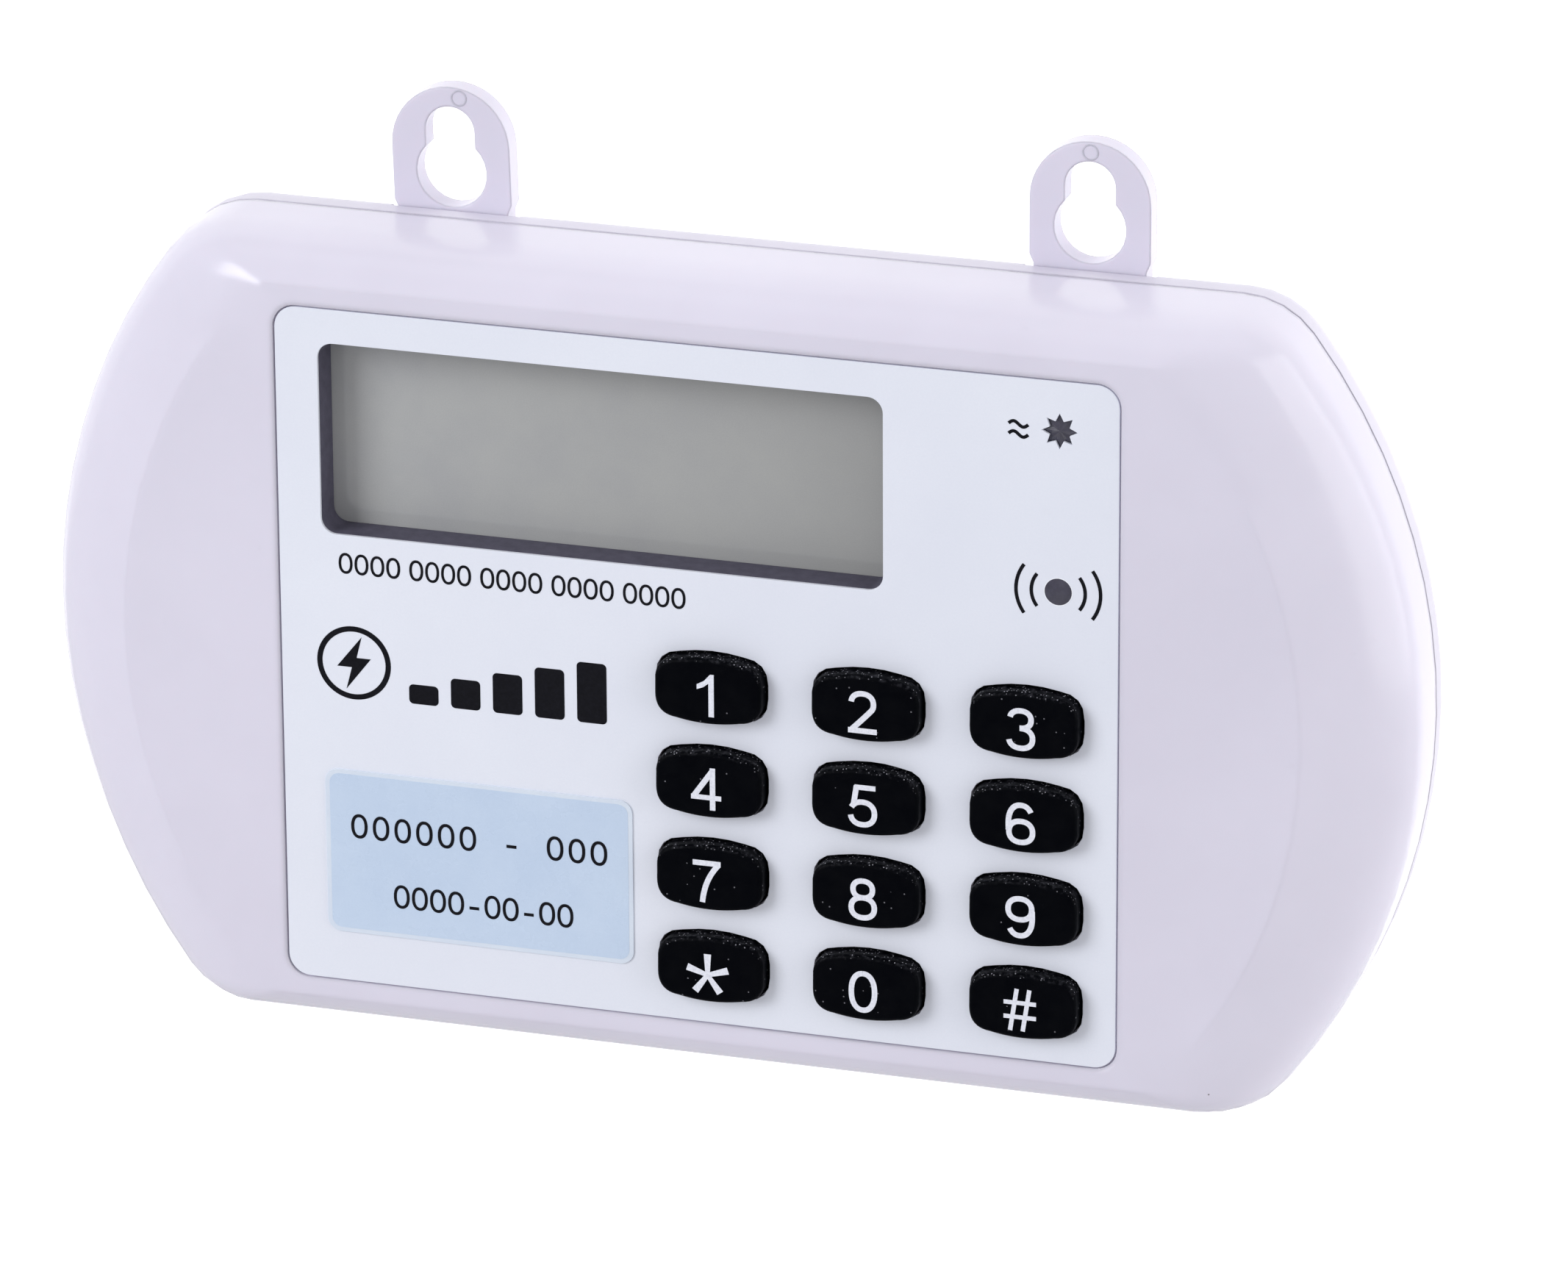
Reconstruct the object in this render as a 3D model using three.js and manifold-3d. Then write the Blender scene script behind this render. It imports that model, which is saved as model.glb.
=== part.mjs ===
// Wall-hung keypad and display unit of a prepaid electricity meter, as an assembly of its real pieces.
// Millimetres. +X is right, +Y goes into the wall, +Z is up. The origin is the centre of the flat rear face.
import * as THREE from "three";
import { ParametricGeometry } from "three/addons/geometries/ParametricGeometry.js";
import { mergeVertices } from "three/addons/utils/BufferGeometryUtils.js";
import Module from "manifold-3d";

// Case: a flat front plateau, a domed bevel round it, a rim wall, and a rounded rear edge.
const FRONT_Y = -20.6;
const RIM_Y = -11;
const WALL = 2;
const GAP = 0.3;
const RIM = { halfHeight: 44.25, halfWidth: 75.5, endRadius: 66.7, cornerRadius: 9.5 };
const PLATEAU = { halfHeight: 40.3, halfWidth: 64.8, endRadius: 58.7, cornerRadius: 0.8 };
const BEVEL_LONG_SIDE = { share: 1, y: -18.3 };
const BEVEL_END = { share: 0.95, y: -16 };
const REAR_EDGE_RADIUS = 3.6;
const PARTING_Y = -5.7;
const REAR_RIM_Y = PARTING_Y + GAP;
const REAR_WALL = 3.2;
const REAR_FLOOR_Y = -2;
const LIP = { inset: 2.3, y: -7.5 };

// Membrane panel in its shallow recess.
const PANEL = {
  x: -0.95,
  z: 0,
  width: 92.25,
  height: 76,
  radius: 2.4,
  recessY: -20.1,
  frontY: -20.5,
  gap: 0.2,
};
const LABEL = { x: -25.2, z: -23, width: 34.5, height: 18.7, radius: 1.5, thickness: 0.15 };

// Display window, its gasket and its glass.
const WINDOW = { x: -11.3, z: 23.6, width: 62.1, height: 21.3, radius: 1.7 };
const GASKET_WIDTH = 1.7;
const GLASS = { frontY: -16.2, width: 66.1, height: 25.3, ledge: 2.4, pane: 1.25, overlap: 0.1 };
const GLASS_FRAME = { gap: 1, wall: 1.2, rearY: -13.8 };
const CONTACT_STRIP = { width: 60, height: 1.9, inset: 1.2 };

// Keypad: twelve keys in four rows, each with a cap, a retaining flange and a plunger.
const KEY = { width: 11.75, height: 7.4, bow: 0.55, corner: 2.4, topY: -22.2, edge: 0.45, gap: 0.3 };
const KEY_FLANGE = { width: 14.3, height: 9.8, thickness: 0.9, frontY: -18.5 };
const KEY_PLUNGER = { width: 8.6, height: 5.4, endY: -12.3 };
const KEYPAD = { x: 0.98, z: 0.3, pitchX: 17.22, pitchZ: 10.54 };
const MAT = { width: 46, height: 41.2, radius: 1.5, thickness: 0.95, holeGap: 0.5 };
const KEY_NAMES = [
  ["key_1", "key_2", "key_3"],
  ["key_4", "key_5", "key_6"],
  ["key_7", "key_8", "key_9"],
  ["key_star", "key_0", "key_hash"],
];

// Indicators: a round one for the radio link and a star-shaped one for the supply.
const SIGNAL = { x: 38.7, z: 14.95, radius: 1.46 };
const SUPPLY = { x: 38.75, z: 32.55, radius: 1.95, innerRadius: 1.15, points: 8 };
const LENS_MARGIN = 0.45;
const LENS_GAP = 0.25;
const LAMP_SIDES = 16;

// Circuit board and what stands on it.
const BOARD = {
  frontY: -11,
  rearY: -9.4,
  left: -46.5,
  right: 46.2,
  top: 37.5,
  bottom: -40,
  stepX: -4.3,
  stepZ: -4.2,
  hole: 1.2,
};
const CONTACT_GAP = 0.05;
const BOARD_SEAT = BOARD.rearY + CONTACT_GAP;
const BOARD_POSTS = [
  [-43.5, 3.5],
  [28.5, 34.5],
  [43.6, 9],
  [10.4, -38.2],
];
const POST = { radius: 2.1, pilot: 0.95, pilotEndY: -17 };

// Case screws sit in wells of the rear cover.
const BOSS_X = 51.5;
const BOSS_Z = 37;
const BOSS = {
  rearRadius: 4.2,
  frontRadius: 3.3,
  wellRadius: 3.2,
  seatY: -3.7,
  hole: 1.7,
  pilot: 1.55,
  pilotEndY: -14.5,
  endY: -8,
};

// Battery bay for two AAA cells, closed by a drop-open door.
const BAY = { x: -33.2, z: -19, width: 50.8, height: 22, wall: 2.2, floorY: -13, floor: 1 };
const CELL = { radius: 5.25, length: 44.5, edge: 0.6, nubRadius: 1.9, nub: 0.9, y: -7.65, pitch: 10.8 };
const DOOR = { margin: 2, rearY: -0.1, frontY: -1.6, seatY: -1.7, tab: 6, tabX: 16 };
const FINGER_NOTCH = { radius: 5, frontY: -1.2 };
const RIBS = { count: 3, pitch: 1.6, halfWidth: 5, halfHeight: 0.4, depth: 0.35, below: 3 };

// Sliding hanging lugs in T-shaped grooves at the top of the rear face.
const LUG = {
  halfWidth: 6.55,
  neck: 6.1,
  rail: 8.1,
  frontY: -2.75,
  railY: -1.6,
  rearY: -0.3,
  roundZ: 51.6,
  shoulderZ: 45.4,
  footZ: 31,
  railTopZ: 41.6,
  holeZ: 48.75,
  holeRadius: 3.9,
  slotZ: 53.25,
  slotRadius: 2.75,
};
const GROOVE = {
  halfWidth: 7.2,
  rail: 8.4,
  floorY: -2.95,
  lipY: -1.4,
  backing: 1.7,
  wall: 1.6,
  stopZ: 42,
  footZ: 18,
};
const LUG_LEFT = { x: -32.9, lift: -0.4, lean: 1.7 };
const LUG_RIGHT = { x: 36.9, lift: 0, lean: 0 };

// Sound holes of the buzzer, and the blank rating label.
const BUZZER = { x: 20, z: 6, radius: 6, height: 4, mouth: 1, hole: 0.8, ring: 3 };
const RATING = { x: 28, z: -20, width: 40, height: 20, recess: 0.3, thickness: 0.2 };

const wasm = await Module();
wasm.setup();

// ---- geometry helpers ----

function solidFromArrays(vertices, triangles) {
  const mesh = new wasm.Mesh({ numProp: 3, vertProperties: vertices, triVerts: new Uint32Array(triangles) });
  const made = new wasm.Manifold(mesh);
  return made.volume() > 0 ? made : solidFromArrays(vertices, triangles.reverse());
}

// The solid of a closed geometry, without the triangles that collapse at a pole.
function solid(geometry) {
  const bare = geometry.clone();
  bare.deleteAttribute("normal");
  bare.deleteAttribute("uv");
  const merged = mergeVertices(bare, 1e-4);
  const corners = merged.index.array;
  const triangles = [];
  for (let i = 0; i < corners.length; i += 3) {
    const [a, b, c] = corners.slice(i, i + 3);
    if (a !== b && b !== c && c !== a) triangles.push(a, b, c);
  }
  return solidFromArrays(merged.getAttribute("position").array, triangles);
}

function join(first, ...others) {
  return others.reduce((sum, other) => sum.add(other), first);
}

function cut(first, ...others) {
  return others.reduce((rest, other) => rest.subtract(other), first);
}

function box([x0, x1], [y0, y1], [z0, z1]) {
  const geometry = new THREE.BoxGeometry(x1 - x0, y1 - y0, z1 - z0);
  return solid(geometry.translate((x0 + x1) / 2, (y0 + y1) / 2, (z0 + z1) / 2));
}

// A block centred at x, z between two depths.
function block({ x, z, width, height }, y0, y1) {
  return box([x - width / 2, x + width / 2], [y0, y1], [z - height / 2, z + height / 2]);
}

// A round bar along Y.
function bar(radius, x, z, y0, y1, sides = 20) {
  const geometry = new THREE.CylinderGeometry(radius, radius, y1 - y0, sides);
  return solid(geometry.translate(x, (y0 + y1) / 2, z));
}

// A shape drawn in X and Z, extruded from its rear face at yRear towards the front.
function plate(shape, yRear, thickness, curveSegments = 5) {
  const geometry = new THREE.ExtrudeGeometry(shape, { depth: thickness, bevelEnabled: false, curveSegments });
  return solid(geometry.rotateX(Math.PI / 2).translate(0, yRear, 0));
}

function roundedRectangle({ x, z, width, height, radius }, grow = 0, Kind = THREE.Shape) {
  const halfX = width / 2 + grow;
  const halfZ = height / 2 + grow;
  const r = Math.max(radius + grow, 0.2);
  const path = new Kind();
  path.absarc(x + halfX - r, z + halfZ - r, r, 0, Math.PI / 2);
  path.absarc(x - halfX + r, z + halfZ - r, r, Math.PI / 2, Math.PI);
  path.absarc(x - halfX + r, z - halfZ + r, r, Math.PI, Math.PI * 1.5);
  path.absarc(x + halfX - r, z - halfZ + r, r, Math.PI * 1.5, Math.PI * 2);
  path.closePath();
  return path;
}

// A key's outline: straight sides, rounded corners, and a top and bottom that bow outwards.
function keyOutline(x, z, grow = 0, Kind = THREE.Shape) {
  const halfX = KEY.width / 2 + grow;
  const halfZ = KEY.height / 2 + grow;
  const r = KEY.corner + grow;
  const shoulder = halfZ - KEY.bow;
  const path = new Kind();
  path.moveTo(x + halfX, z - shoulder + r);
  path.lineTo(x + halfX, z + shoulder - r);
  path.quadraticCurveTo(x + halfX, z + shoulder, x + halfX - r, z + shoulder + KEY.bow * 0.35);
  path.quadraticCurveTo(x, z + halfZ + KEY.bow * 0.65, x - halfX + r, z + shoulder + KEY.bow * 0.35);
  path.quadraticCurveTo(x - halfX, z + shoulder, x - halfX, z + shoulder - r);
  path.lineTo(x - halfX, z - shoulder + r);
  path.quadraticCurveTo(x - halfX, z - shoulder, x - halfX + r, z - shoulder - KEY.bow * 0.35);
  path.quadraticCurveTo(x, z - halfZ - KEY.bow * 0.65, x + halfX - r, z - shoulder - KEY.bow * 0.35);
  path.quadraticCurveTo(x + halfX, z - shoulder, x + halfX, z - shoulder + r);
  return path;
}

function starOutline({ x, z, radius, innerRadius, points }, Kind = THREE.Shape) {
  const path = new Kind();
  for (let i = 0; i < 2 * points; i++) {
    const angle = (Math.PI * i) / points;
    const reach = i % 2 ? innerRadius : radius;
    path[i ? "lineTo" : "moveTo"](x + reach * Math.sin(angle), z + reach * Math.cos(angle));
  }
  path.closePath();
  return path;
}

function circle(x, z, radius, Kind = THREE.Path) {
  return new Kind().absarc(x, z, radius, 0, Math.PI * 2);
}

// ---- the case's outline and its lofted surface ----

const STRAIGHT_STEPS = 1;
const CORNER_STEPS = 4;
const ARC_STEPS = 9;
const SHOULDER_STEPS = 5;

// A quarter of the outline from the top centre to the right end. `end` is 0 on the long side and round the
// corner, and rises to 1 along the end arc.
function outlineQuarter({ halfHeight, halfWidth, endRadius, cornerRadius }) {
  const arcX = halfWidth - endRadius;
  const cornerZ = halfHeight - cornerRadius;
  const cornerX = arcX + Math.sqrt((endRadius - cornerRadius) ** 2 - cornerZ ** 2);
  const meet = Math.atan2(cornerZ, cornerX - arcX);
  const points = [];
  for (let i = 0; i <= STRAIGHT_STEPS; i++) {
    points.push({ x: (cornerX * i) / STRAIGHT_STEPS, z: halfHeight, end: 0 });
  }
  for (let i = 1; i <= CORNER_STEPS; i++) {
    const angle = Math.PI / 2 + ((meet - Math.PI / 2) * i) / CORNER_STEPS;
    points.push({
      x: cornerX + cornerRadius * Math.cos(angle),
      z: cornerZ + cornerRadius * Math.sin(angle),
      end: 0,
    });
  }
  for (let i = 1; i <= ARC_STEPS; i++) {
    const angle = meet * (1 - i / ARC_STEPS);
    const end = Math.min(i / SHOULDER_STEPS, 1);
    points.push({ x: arcX + endRadius * Math.cos(angle), z: endRadius * Math.sin(angle), end });
  }
  return points;
}

// The whole outline, clockwise from the top centre as seen from the front.
function outlineRing(sizes) {
  const quarter = outlineQuarter(sizes);
  const inner = quarter.slice(1, -1);
  const flip = (points, sx, sz) => points.map(({ x, z, end }) => ({ x: sx * x, z: sz * z, end }));
  return [
    ...quarter,
    ...flip(inner, 1, -1).reverse(),
    ...flip(quarter, -1, -1).slice(0, 1),
    ...flip(inner, -1, -1),
    ...flip(quarter, -1, 1).slice(-1),
    ...flip(inner, -1, 1).reverse(),
  ];
}

function inset(sizes, by) {
  return {
    halfHeight: sizes.halfHeight - by,
    halfWidth: sizes.halfWidth - by,
    endRadius: sizes.endRadius - by,
    cornerRadius: Math.max(sizes.cornerRadius - by, 0.5),
  };
}

// A closed solid through a stack of rings, each a list of {x, y, z}, with flat ends.
function loft(rings) {
  const count = rings[0].length;
  const surface = (u, v, target) => {
    const level = Math.round(v * (rings.length + 1));
    const ring = rings[Math.min(Math.max(level - 1, 0), rings.length - 1)];
    const { x, y, z } = ring[Math.round(u * count) % count];
    const onRing = level > 0 && level <= rings.length;
    target.set(onRing ? x : 0, y, onRing ? z : 0);
  };
  return solid(new ParametricGeometry(surface, count, rings.length + 1));
}

function flatRing(sizes, y) {
  return outlineRing(sizes).map(({ x, z }) => ({ x, y, z }));
}

const BEVEL_STEPS = 6;

// Rings of the domed bevel from the plateau to the rim: a quadratic curve in depth and in share of the width.
function bevelRings(rimSizes, plateauSizes, shiftY) {
  const rim = outlineRing(rimSizes);
  const plateau = outlineRing(plateauSizes);
  const rings = [];
  for (let step = 0; step <= BEVEL_STEPS; step++) {
    const t = step / BEVEL_STEPS;
    const middle = 2 * t * (1 - t);
    rings.push(
      rim.map((outer, i) => {
        const control = {
          share: THREE.MathUtils.lerp(BEVEL_LONG_SIDE.share, BEVEL_END.share, outer.end),
          y: THREE.MathUtils.lerp(BEVEL_LONG_SIDE.y, BEVEL_END.y, outer.end),
        };
        const share = middle * control.share + t * t;
        return {
          x: THREE.MathUtils.lerp(plateau[i].x, outer.x, share),
          y: (1 - t) ** 2 * FRONT_Y + middle * control.y + t * t * RIM_Y + shiftY,
          z: THREE.MathUtils.lerp(plateau[i].z, outer.z, share),
        };
      }),
    );
  }
  return rings;
}

// ---- sub-parts ----

const LUGS = [LUG_LEFT, LUG_RIGHT];
const KEYS = KEY_NAMES.flatMap((row, j) =>
  row.map((name, i) => ({ name, x: KEYPAD.x + i * KEYPAD.pitchX, z: KEYPAD.z - j * KEYPAD.pitchZ })),
);
const BOSSES = [-1, 1].flatMap((sx) => [1, -1].map((sz) => [sx * BOSS_X, sz * BOSS_Z]));
const INNER_FRONT_Y = FRONT_Y + WALL;

// How far a post, boss or wall reaches into what it grows from, and how far a cutter passes its wall.
const ROOT = 0.5;
const CUTTER = 4;

function glassBlock(grow, y0, y1) {
  return block({ ...WINDOW, width: GLASS.width + grow, height: GLASS.height + grow }, y0, y1);
}

function frontCover() {
  const outer = loft([...bevelRings(RIM, PLATEAU, 0), flatRing(RIM, PARTING_Y)]);
  const hollow = loft([
    ...bevelRings(inset(RIM, WALL), inset(PLATEAU, WALL), WALL),
    flatRing(inset(RIM, WALL), PARTING_Y + 1),
  ]);
  const bosses = BOSSES.map(([x, z]) => bar(BOSS.frontRadius, x, z, INNER_FRONT_Y - ROOT, BOSS.endY - GAP));
  const postEndY = BOARD.frontY - CONTACT_GAP;
  const posts = BOARD_POSTS.map(([x, z]) => bar(POST.radius, x, z, INNER_FRONT_Y - ROOT, postEndY, 16));
  const glassFrame = cut(
    glassBlock(GLASS_FRAME.gap + 2 * GLASS_FRAME.wall, INNER_FRONT_Y - ROOT, GLASS_FRAME.rearY),
    glassBlock(GLASS_FRAME.gap, INNER_FRONT_Y, GLASS_FRAME.rearY + 1),
  );
  const body = join(cut(outer, hollow), ...bosses, ...posts, glassFrame).intersect(outer);
  return cut(
    body,
    plate(roundedRectangle(PANEL, PANEL.gap), PANEL.recessY, 2),
    plate(roundedRectangle(WINDOW, GASKET_WIDTH + GAP), INNER_FRONT_Y + ROOT, CUTTER),
    ...KEYS.map(({ x, z }) => plate(keyOutline(x, z, KEY.gap), INNER_FRONT_Y + ROOT, CUTTER, 3)),
    ...[SIGNAL, SUPPLY].map(({ x, z, radius }) =>
      bar(radius + LENS_MARGIN + LENS_GAP, x, z, FRONT_Y - 1, INNER_FRONT_Y + 1),
    ),
    ...BOSSES.map(([x, z]) => bar(BOSS.pilot, x, z, BOSS.pilotEndY, BOSS.endY, 14)),
    ...BOARD_POSTS.map(([x, z]) => bar(POST.pilot, x, z, POST.pilotEndY, BOARD.frontY, 12)),
  );
}

const REAR_EDGE_STEPS = 4;

function rearShell() {
  const rings = [flatRing(RIM, REAR_RIM_Y)];
  for (let i = 0; i <= REAR_EDGE_STEPS; i++) {
    const angle = (Math.PI / 2) * (i / REAR_EDGE_STEPS);
    const by = REAR_EDGE_RADIUS * (1 - Math.cos(angle));
    rings.push(flatRing(inset(RIM, by), REAR_EDGE_RADIUS * (Math.sin(angle) - 1)));
  }
  return loft(rings);
}

function lugGroove(x) {
  const above = RIM.halfHeight + 5;
  return join(
    box([x - GROOVE.halfWidth, x + GROOVE.halfWidth], [GROOVE.floorY, 1], [GROOVE.footZ, above]),
    box([x - GROOVE.rail, x + GROOVE.rail], [GROOVE.floorY, GROOVE.lipY], [GROOVE.footZ, GROOVE.stopZ]),
  );
}

// An undercut pocket under the lower edge of the bay, for one hook tab of the door.
const POCKET = { frontY: -3.4, lipY: -1.9, below: 1.3, above: 4.5 };

function tabPocket(x) {
  const half = DOOR.tab / 2 + GAP;
  const z = BAY.z - BAY.height / 2 - DOOR.margin;
  return join(
    box([x - half, x + half], [POCKET.frontY, POCKET.lipY], [z - POCKET.below, z + POCKET.above]),
    box([x - half, x + half], [POCKET.frontY, 1], [z, z + POCKET.above]),
  );
}

function rearCover() {
  const outer = rearShell();
  const lipSizes = inset(RIM, LIP.inset);
  const lip = loft([flatRing(lipSizes, LIP.y), flatRing(lipSizes, REAR_RIM_Y + ROOT)]);
  const inside = inset(RIM, REAR_WALL);
  const hollow = loft([flatRing(inside, LIP.y - 1), flatRing(inside, REAR_FLOOR_Y)]);
  const tub = block(
    { ...BAY, width: BAY.width + 2 * BAY.wall, height: BAY.height + 2 * BAY.wall },
    BAY.floorY - BAY.floor,
    REAR_FLOOR_Y + ROOT,
  );
  const backings = LUGS.map(({ x }) =>
    box(
      [x - GROOVE.rail - GROOVE.wall, x + GROOVE.rail + GROOVE.wall],
      [GROOVE.floorY - GROOVE.backing, REAR_FLOOR_Y + ROOT],
      [GROOVE.footZ - GROOVE.wall, RIM.halfHeight - WALL],
    ),
  );
  const bosses = BOSSES.map(([x, z]) => bar(BOSS.rearRadius, x, z, BOSS.endY, REAR_FLOOR_Y + ROOT));
  const bayMouth = { ...BAY, width: BAY.width + 2 * DOOR.margin, height: BAY.height + 2 * DOOR.margin };
  const pockets = [-1, 1].map((side) => tabPocket(BAY.x + side * DOOR.tabX));
  const soundHoles = [0, 1, 2, 3, 4, 5].map((i) => {
    const angle = (Math.PI / 3) * i;
    const x = BUZZER.x + BUZZER.ring * Math.cos(angle);
    return bar(BUZZER.hole, x, BUZZER.z + BUZZER.ring * Math.sin(angle), REAR_FLOOR_Y - 1, 1, 12);
  });
  return cut(
    join(cut(join(outer, lip), hollow), tub, ...backings, ...bosses),
    block(BAY, BAY.floorY, 1),
    block(bayMouth, DOOR.seatY, 1),
    bar(FINGER_NOTCH.radius, BAY.x, BAY.z + BAY.height / 2 + DOOR.margin, FINGER_NOTCH.frontY, 1),
    ...pockets,
    ...LUGS.map(({ x }) => lugGroove(x)),
    ...BOSSES.map(([x, z]) => bar(BOSS.wellRadius, x, z, BOSS.seatY, 1)),
    ...BOSSES.map(([x, z]) => bar(BOSS.hole, x, z, BOSS.endY - 1, 1, 14)),
    ...soundHoles,
    bar(BUZZER.hole, BUZZER.x, BUZZER.z, REAR_FLOOR_Y - 1, 1, 12),
    block(
      { ...RATING, width: RATING.width + 2 * GAP, height: RATING.height + 2 * GAP },
      -RATING.recess,
      1,
    ),
  );
}

function panelOverlay() {
  const shape = roundedRectangle(PANEL);
  shape.holes.push(roundedRectangle(WINDOW, 0, THREE.Path));
  shape.holes.push(circle(SIGNAL.x, SIGNAL.z, SIGNAL.radius));
  shape.holes.push(starOutline(SUPPLY, THREE.Path));
  KEYS.forEach(({ x, z }) => shape.holes.push(keyOutline(x, z, KEY.gap, THREE.Path)));
  return plate(shape, PANEL.recessY, PANEL.recessY - PANEL.frontY, 4);
}

function informationLabel() {
  return plate(roundedRectangle(LABEL), PANEL.frontY, LABEL.thickness);
}

function displayGasket() {
  const shape = roundedRectangle(WINDOW, GASKET_WIDTH);
  shape.holes.push(roundedRectangle(WINDOW, 0, THREE.Path));
  return plate(shape, GLASS.frontY - CONTACT_GAP, GLASS.frontY - PANEL.recessY - 2 * CONTACT_GAP);
}

// Two panes: the rear one is taller, and its ledges carry the contacts.
function displayGlass() {
  const middleY = GLASS.frontY + GLASS.pane;
  const size = { ...WINDOW, width: GLASS.width, height: GLASS.height };
  return join(
    block({ ...size, height: GLASS.height - GLASS.ledge }, GLASS.frontY, middleY + GLASS.overlap),
    block(size, middleY, middleY + GLASS.pane),
  );
}

function contactStrip(side) {
  const z = WINDOW.z + side * (GLASS.height / 2 - CONTACT_STRIP.inset);
  const front = GLASS.frontY + 2 * GLASS.pane + CONTACT_GAP;
  return block({ ...CONTACT_STRIP, x: WINDOW.x, z }, front, BOARD.frontY - CONTACT_GAP);
}

function key({ x, z }) {
  const capRearY = KEY_FLANGE.frontY + ROOT;
  const cap = new THREE.ExtrudeGeometry(keyOutline(x, z, -KEY.edge), {
    depth: capRearY - KEY.topY - 2 * KEY.edge,
    bevelThickness: KEY.edge,
    bevelSize: KEY.edge,
    bevelSegments: 2,
    curveSegments: 4,
  });
  return join(
    solid(cap.rotateX(Math.PI / 2).translate(0, capRearY - KEY.edge, 0)),
    block({ ...KEY_FLANGE, x, z }, KEY_FLANGE.frontY, KEY_FLANGE.frontY + KEY_FLANGE.thickness),
    block({ ...KEY_PLUNGER, x, z }, KEY_FLANGE.frontY + ROOT, KEY_PLUNGER.endY),
  );
}

function keypadMat() {
  const middle = { x: KEYPAD.x + KEYPAD.pitchX, z: KEYPAD.z - 1.5 * KEYPAD.pitchZ };
  const rearY = BOARD.frontY - CONTACT_GAP;
  const width = KEY_PLUNGER.width + 2 * MAT.holeGap;
  const height = KEY_PLUNGER.height + 2 * MAT.holeGap;
  const holes = KEYS.map(({ x, z }) => block({ x, z, width, height }, rearY - 2, rearY + 1));
  return cut(plate(roundedRectangle({ ...MAT, ...middle }), rearY, MAT.thickness, 2), ...holes);
}

function circuitBoard() {
  const shape = new THREE.Shape();
  shape.moveTo(BOARD.left, BOARD.top);
  shape.lineTo(BOARD.right, BOARD.top);
  shape.lineTo(BOARD.right, BOARD.bottom);
  shape.lineTo(BOARD.stepX, BOARD.bottom);
  shape.lineTo(BOARD.stepX, BOARD.stepZ);
  shape.lineTo(BOARD.left, BOARD.stepZ);
  BOARD_POSTS.forEach(([x, z]) => shape.holes.push(circle(x, z, BOARD.hole)));
  return plate(shape, BOARD.rearY, BOARD.rearY - BOARD.frontY, 4);
}

// A 3 mm lamp standing on the front of the board, with its flange and dome.
function lamp({ x, z }) {
  const profile = [
    [0, 0],
    [1.9, 0],
    [1.9, 1],
    [1.5, 1],
    [1.5, 5.4],
    [1.3, 6.15],
    [0.75, 6.7],
    [0, 6.9],
  ].map(([radius, height]) => new THREE.Vector2(radius, height));
  const geometry = new THREE.LatheGeometry(profile, LAMP_SIDES).rotateX(Math.PI);
  return solid(geometry).translate([x, BOARD.frontY - CONTACT_GAP, z]);
}

function lens({ x, z, radius }) {
  return bar(radius + LENS_MARGIN, x, z, PANEL.recessY + CONTACT_GAP, INNER_FRONT_Y - 2 * CONTACT_GAP, 20);
}

// A screw pointing towards the front, with a cross recess in its head.
function screw([x, z], { seatY, headRadius, headHeight, shaftRadius, length, sides }) {
  const rearY = seatY + headHeight;
  const slot = headRadius * 0.6;
  const half = headRadius * 0.13;
  return cut(
    join(
      bar(headRadius, x, z, seatY, rearY, sides),
      bar(shaftRadius, x, z, seatY - length, seatY + 0.2, sides - 4),
    ),
    box([x - slot, x + slot], [rearY - headHeight * 0.5, rearY + 1], [z - half, z + half]),
    box([x - half, x + half], [rearY - headHeight * 0.5, rearY + 1], [z - slot, z + slot]),
  );
}

const CASE_SCREW = {
  seatY: BOSS.seatY + CONTACT_GAP,
  headRadius: 2.8,
  headHeight: 2.1,
  shaftRadius: 1.4,
  length: 9,
  sides: 20,
};
const BOARD_SCREW = {
  seatY: BOARD_SEAT,
  headRadius: 1.9,
  headHeight: 1.3,
  shaftRadius: 0.8,
  length: 6,
  sides: 14,
};

// Components on the rear side of the board.
function buzzer() {
  const top = BOARD_SEAT + BUZZER.height;
  return cut(
    bar(BUZZER.radius, BUZZER.x, BUZZER.z, BOARD_SEAT, top, 28),
    bar(BUZZER.mouth, BUZZER.x, BUZZER.z, top - BUZZER.height / 2, top + 1, 12),
  );
}

function onBoard(x, z, width, height, thickness) {
  return block({ x, z, width, height }, BOARD_SEAT, BOARD_SEAT + thickness);
}

const CHIP = { x: -6, z: 20, body: 11, height: 1.6 };
const LEG = { span: 6, halfRow: 6.2, halfWidth: 0.9, thickness: 0.25 };

function microcontroller() {
  const { x, z } = CHIP;
  const depths = [BOARD_SEAT, BOARD_SEAT + LEG.thickness];
  const row = (middle) => [middle - LEG.halfRow, middle + LEG.halfRow];
  const edge = (middle, side) => {
    const line = middle + side * LEG.span;
    return [line - LEG.halfWidth, line + LEG.halfWidth];
  };
  const legs = [-1, 1].flatMap((side) => [
    box(row(x), depths, edge(z, side)),
    box(edge(x, side), depths, row(z)),
  ]);
  return join(onBoard(x, z, CHIP.body, CHIP.body, CHIP.height), ...legs);
}

const CRYSTAL = { x: 8, z: 25, width: 10.2, height: 3.8, radius: 1.85, thickness: 3.3 };

function crystal() {
  return plate(roundedRectangle(CRYSTAL), BOARD_SEAT + CRYSTAL.thickness, CRYSTAL.thickness, 4);
}

function radioModule() {
  return join(onBoard(-26, 9, 20, 13, 1), onBoard(-27.5, 9, 13, 10.5, 3));
}

// Stiff wire aerial: out of the radio module, then along the upper edge of the board.
const AERIAL = { radius: 0.45, lift: 1.4, steps: 20 };

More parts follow.
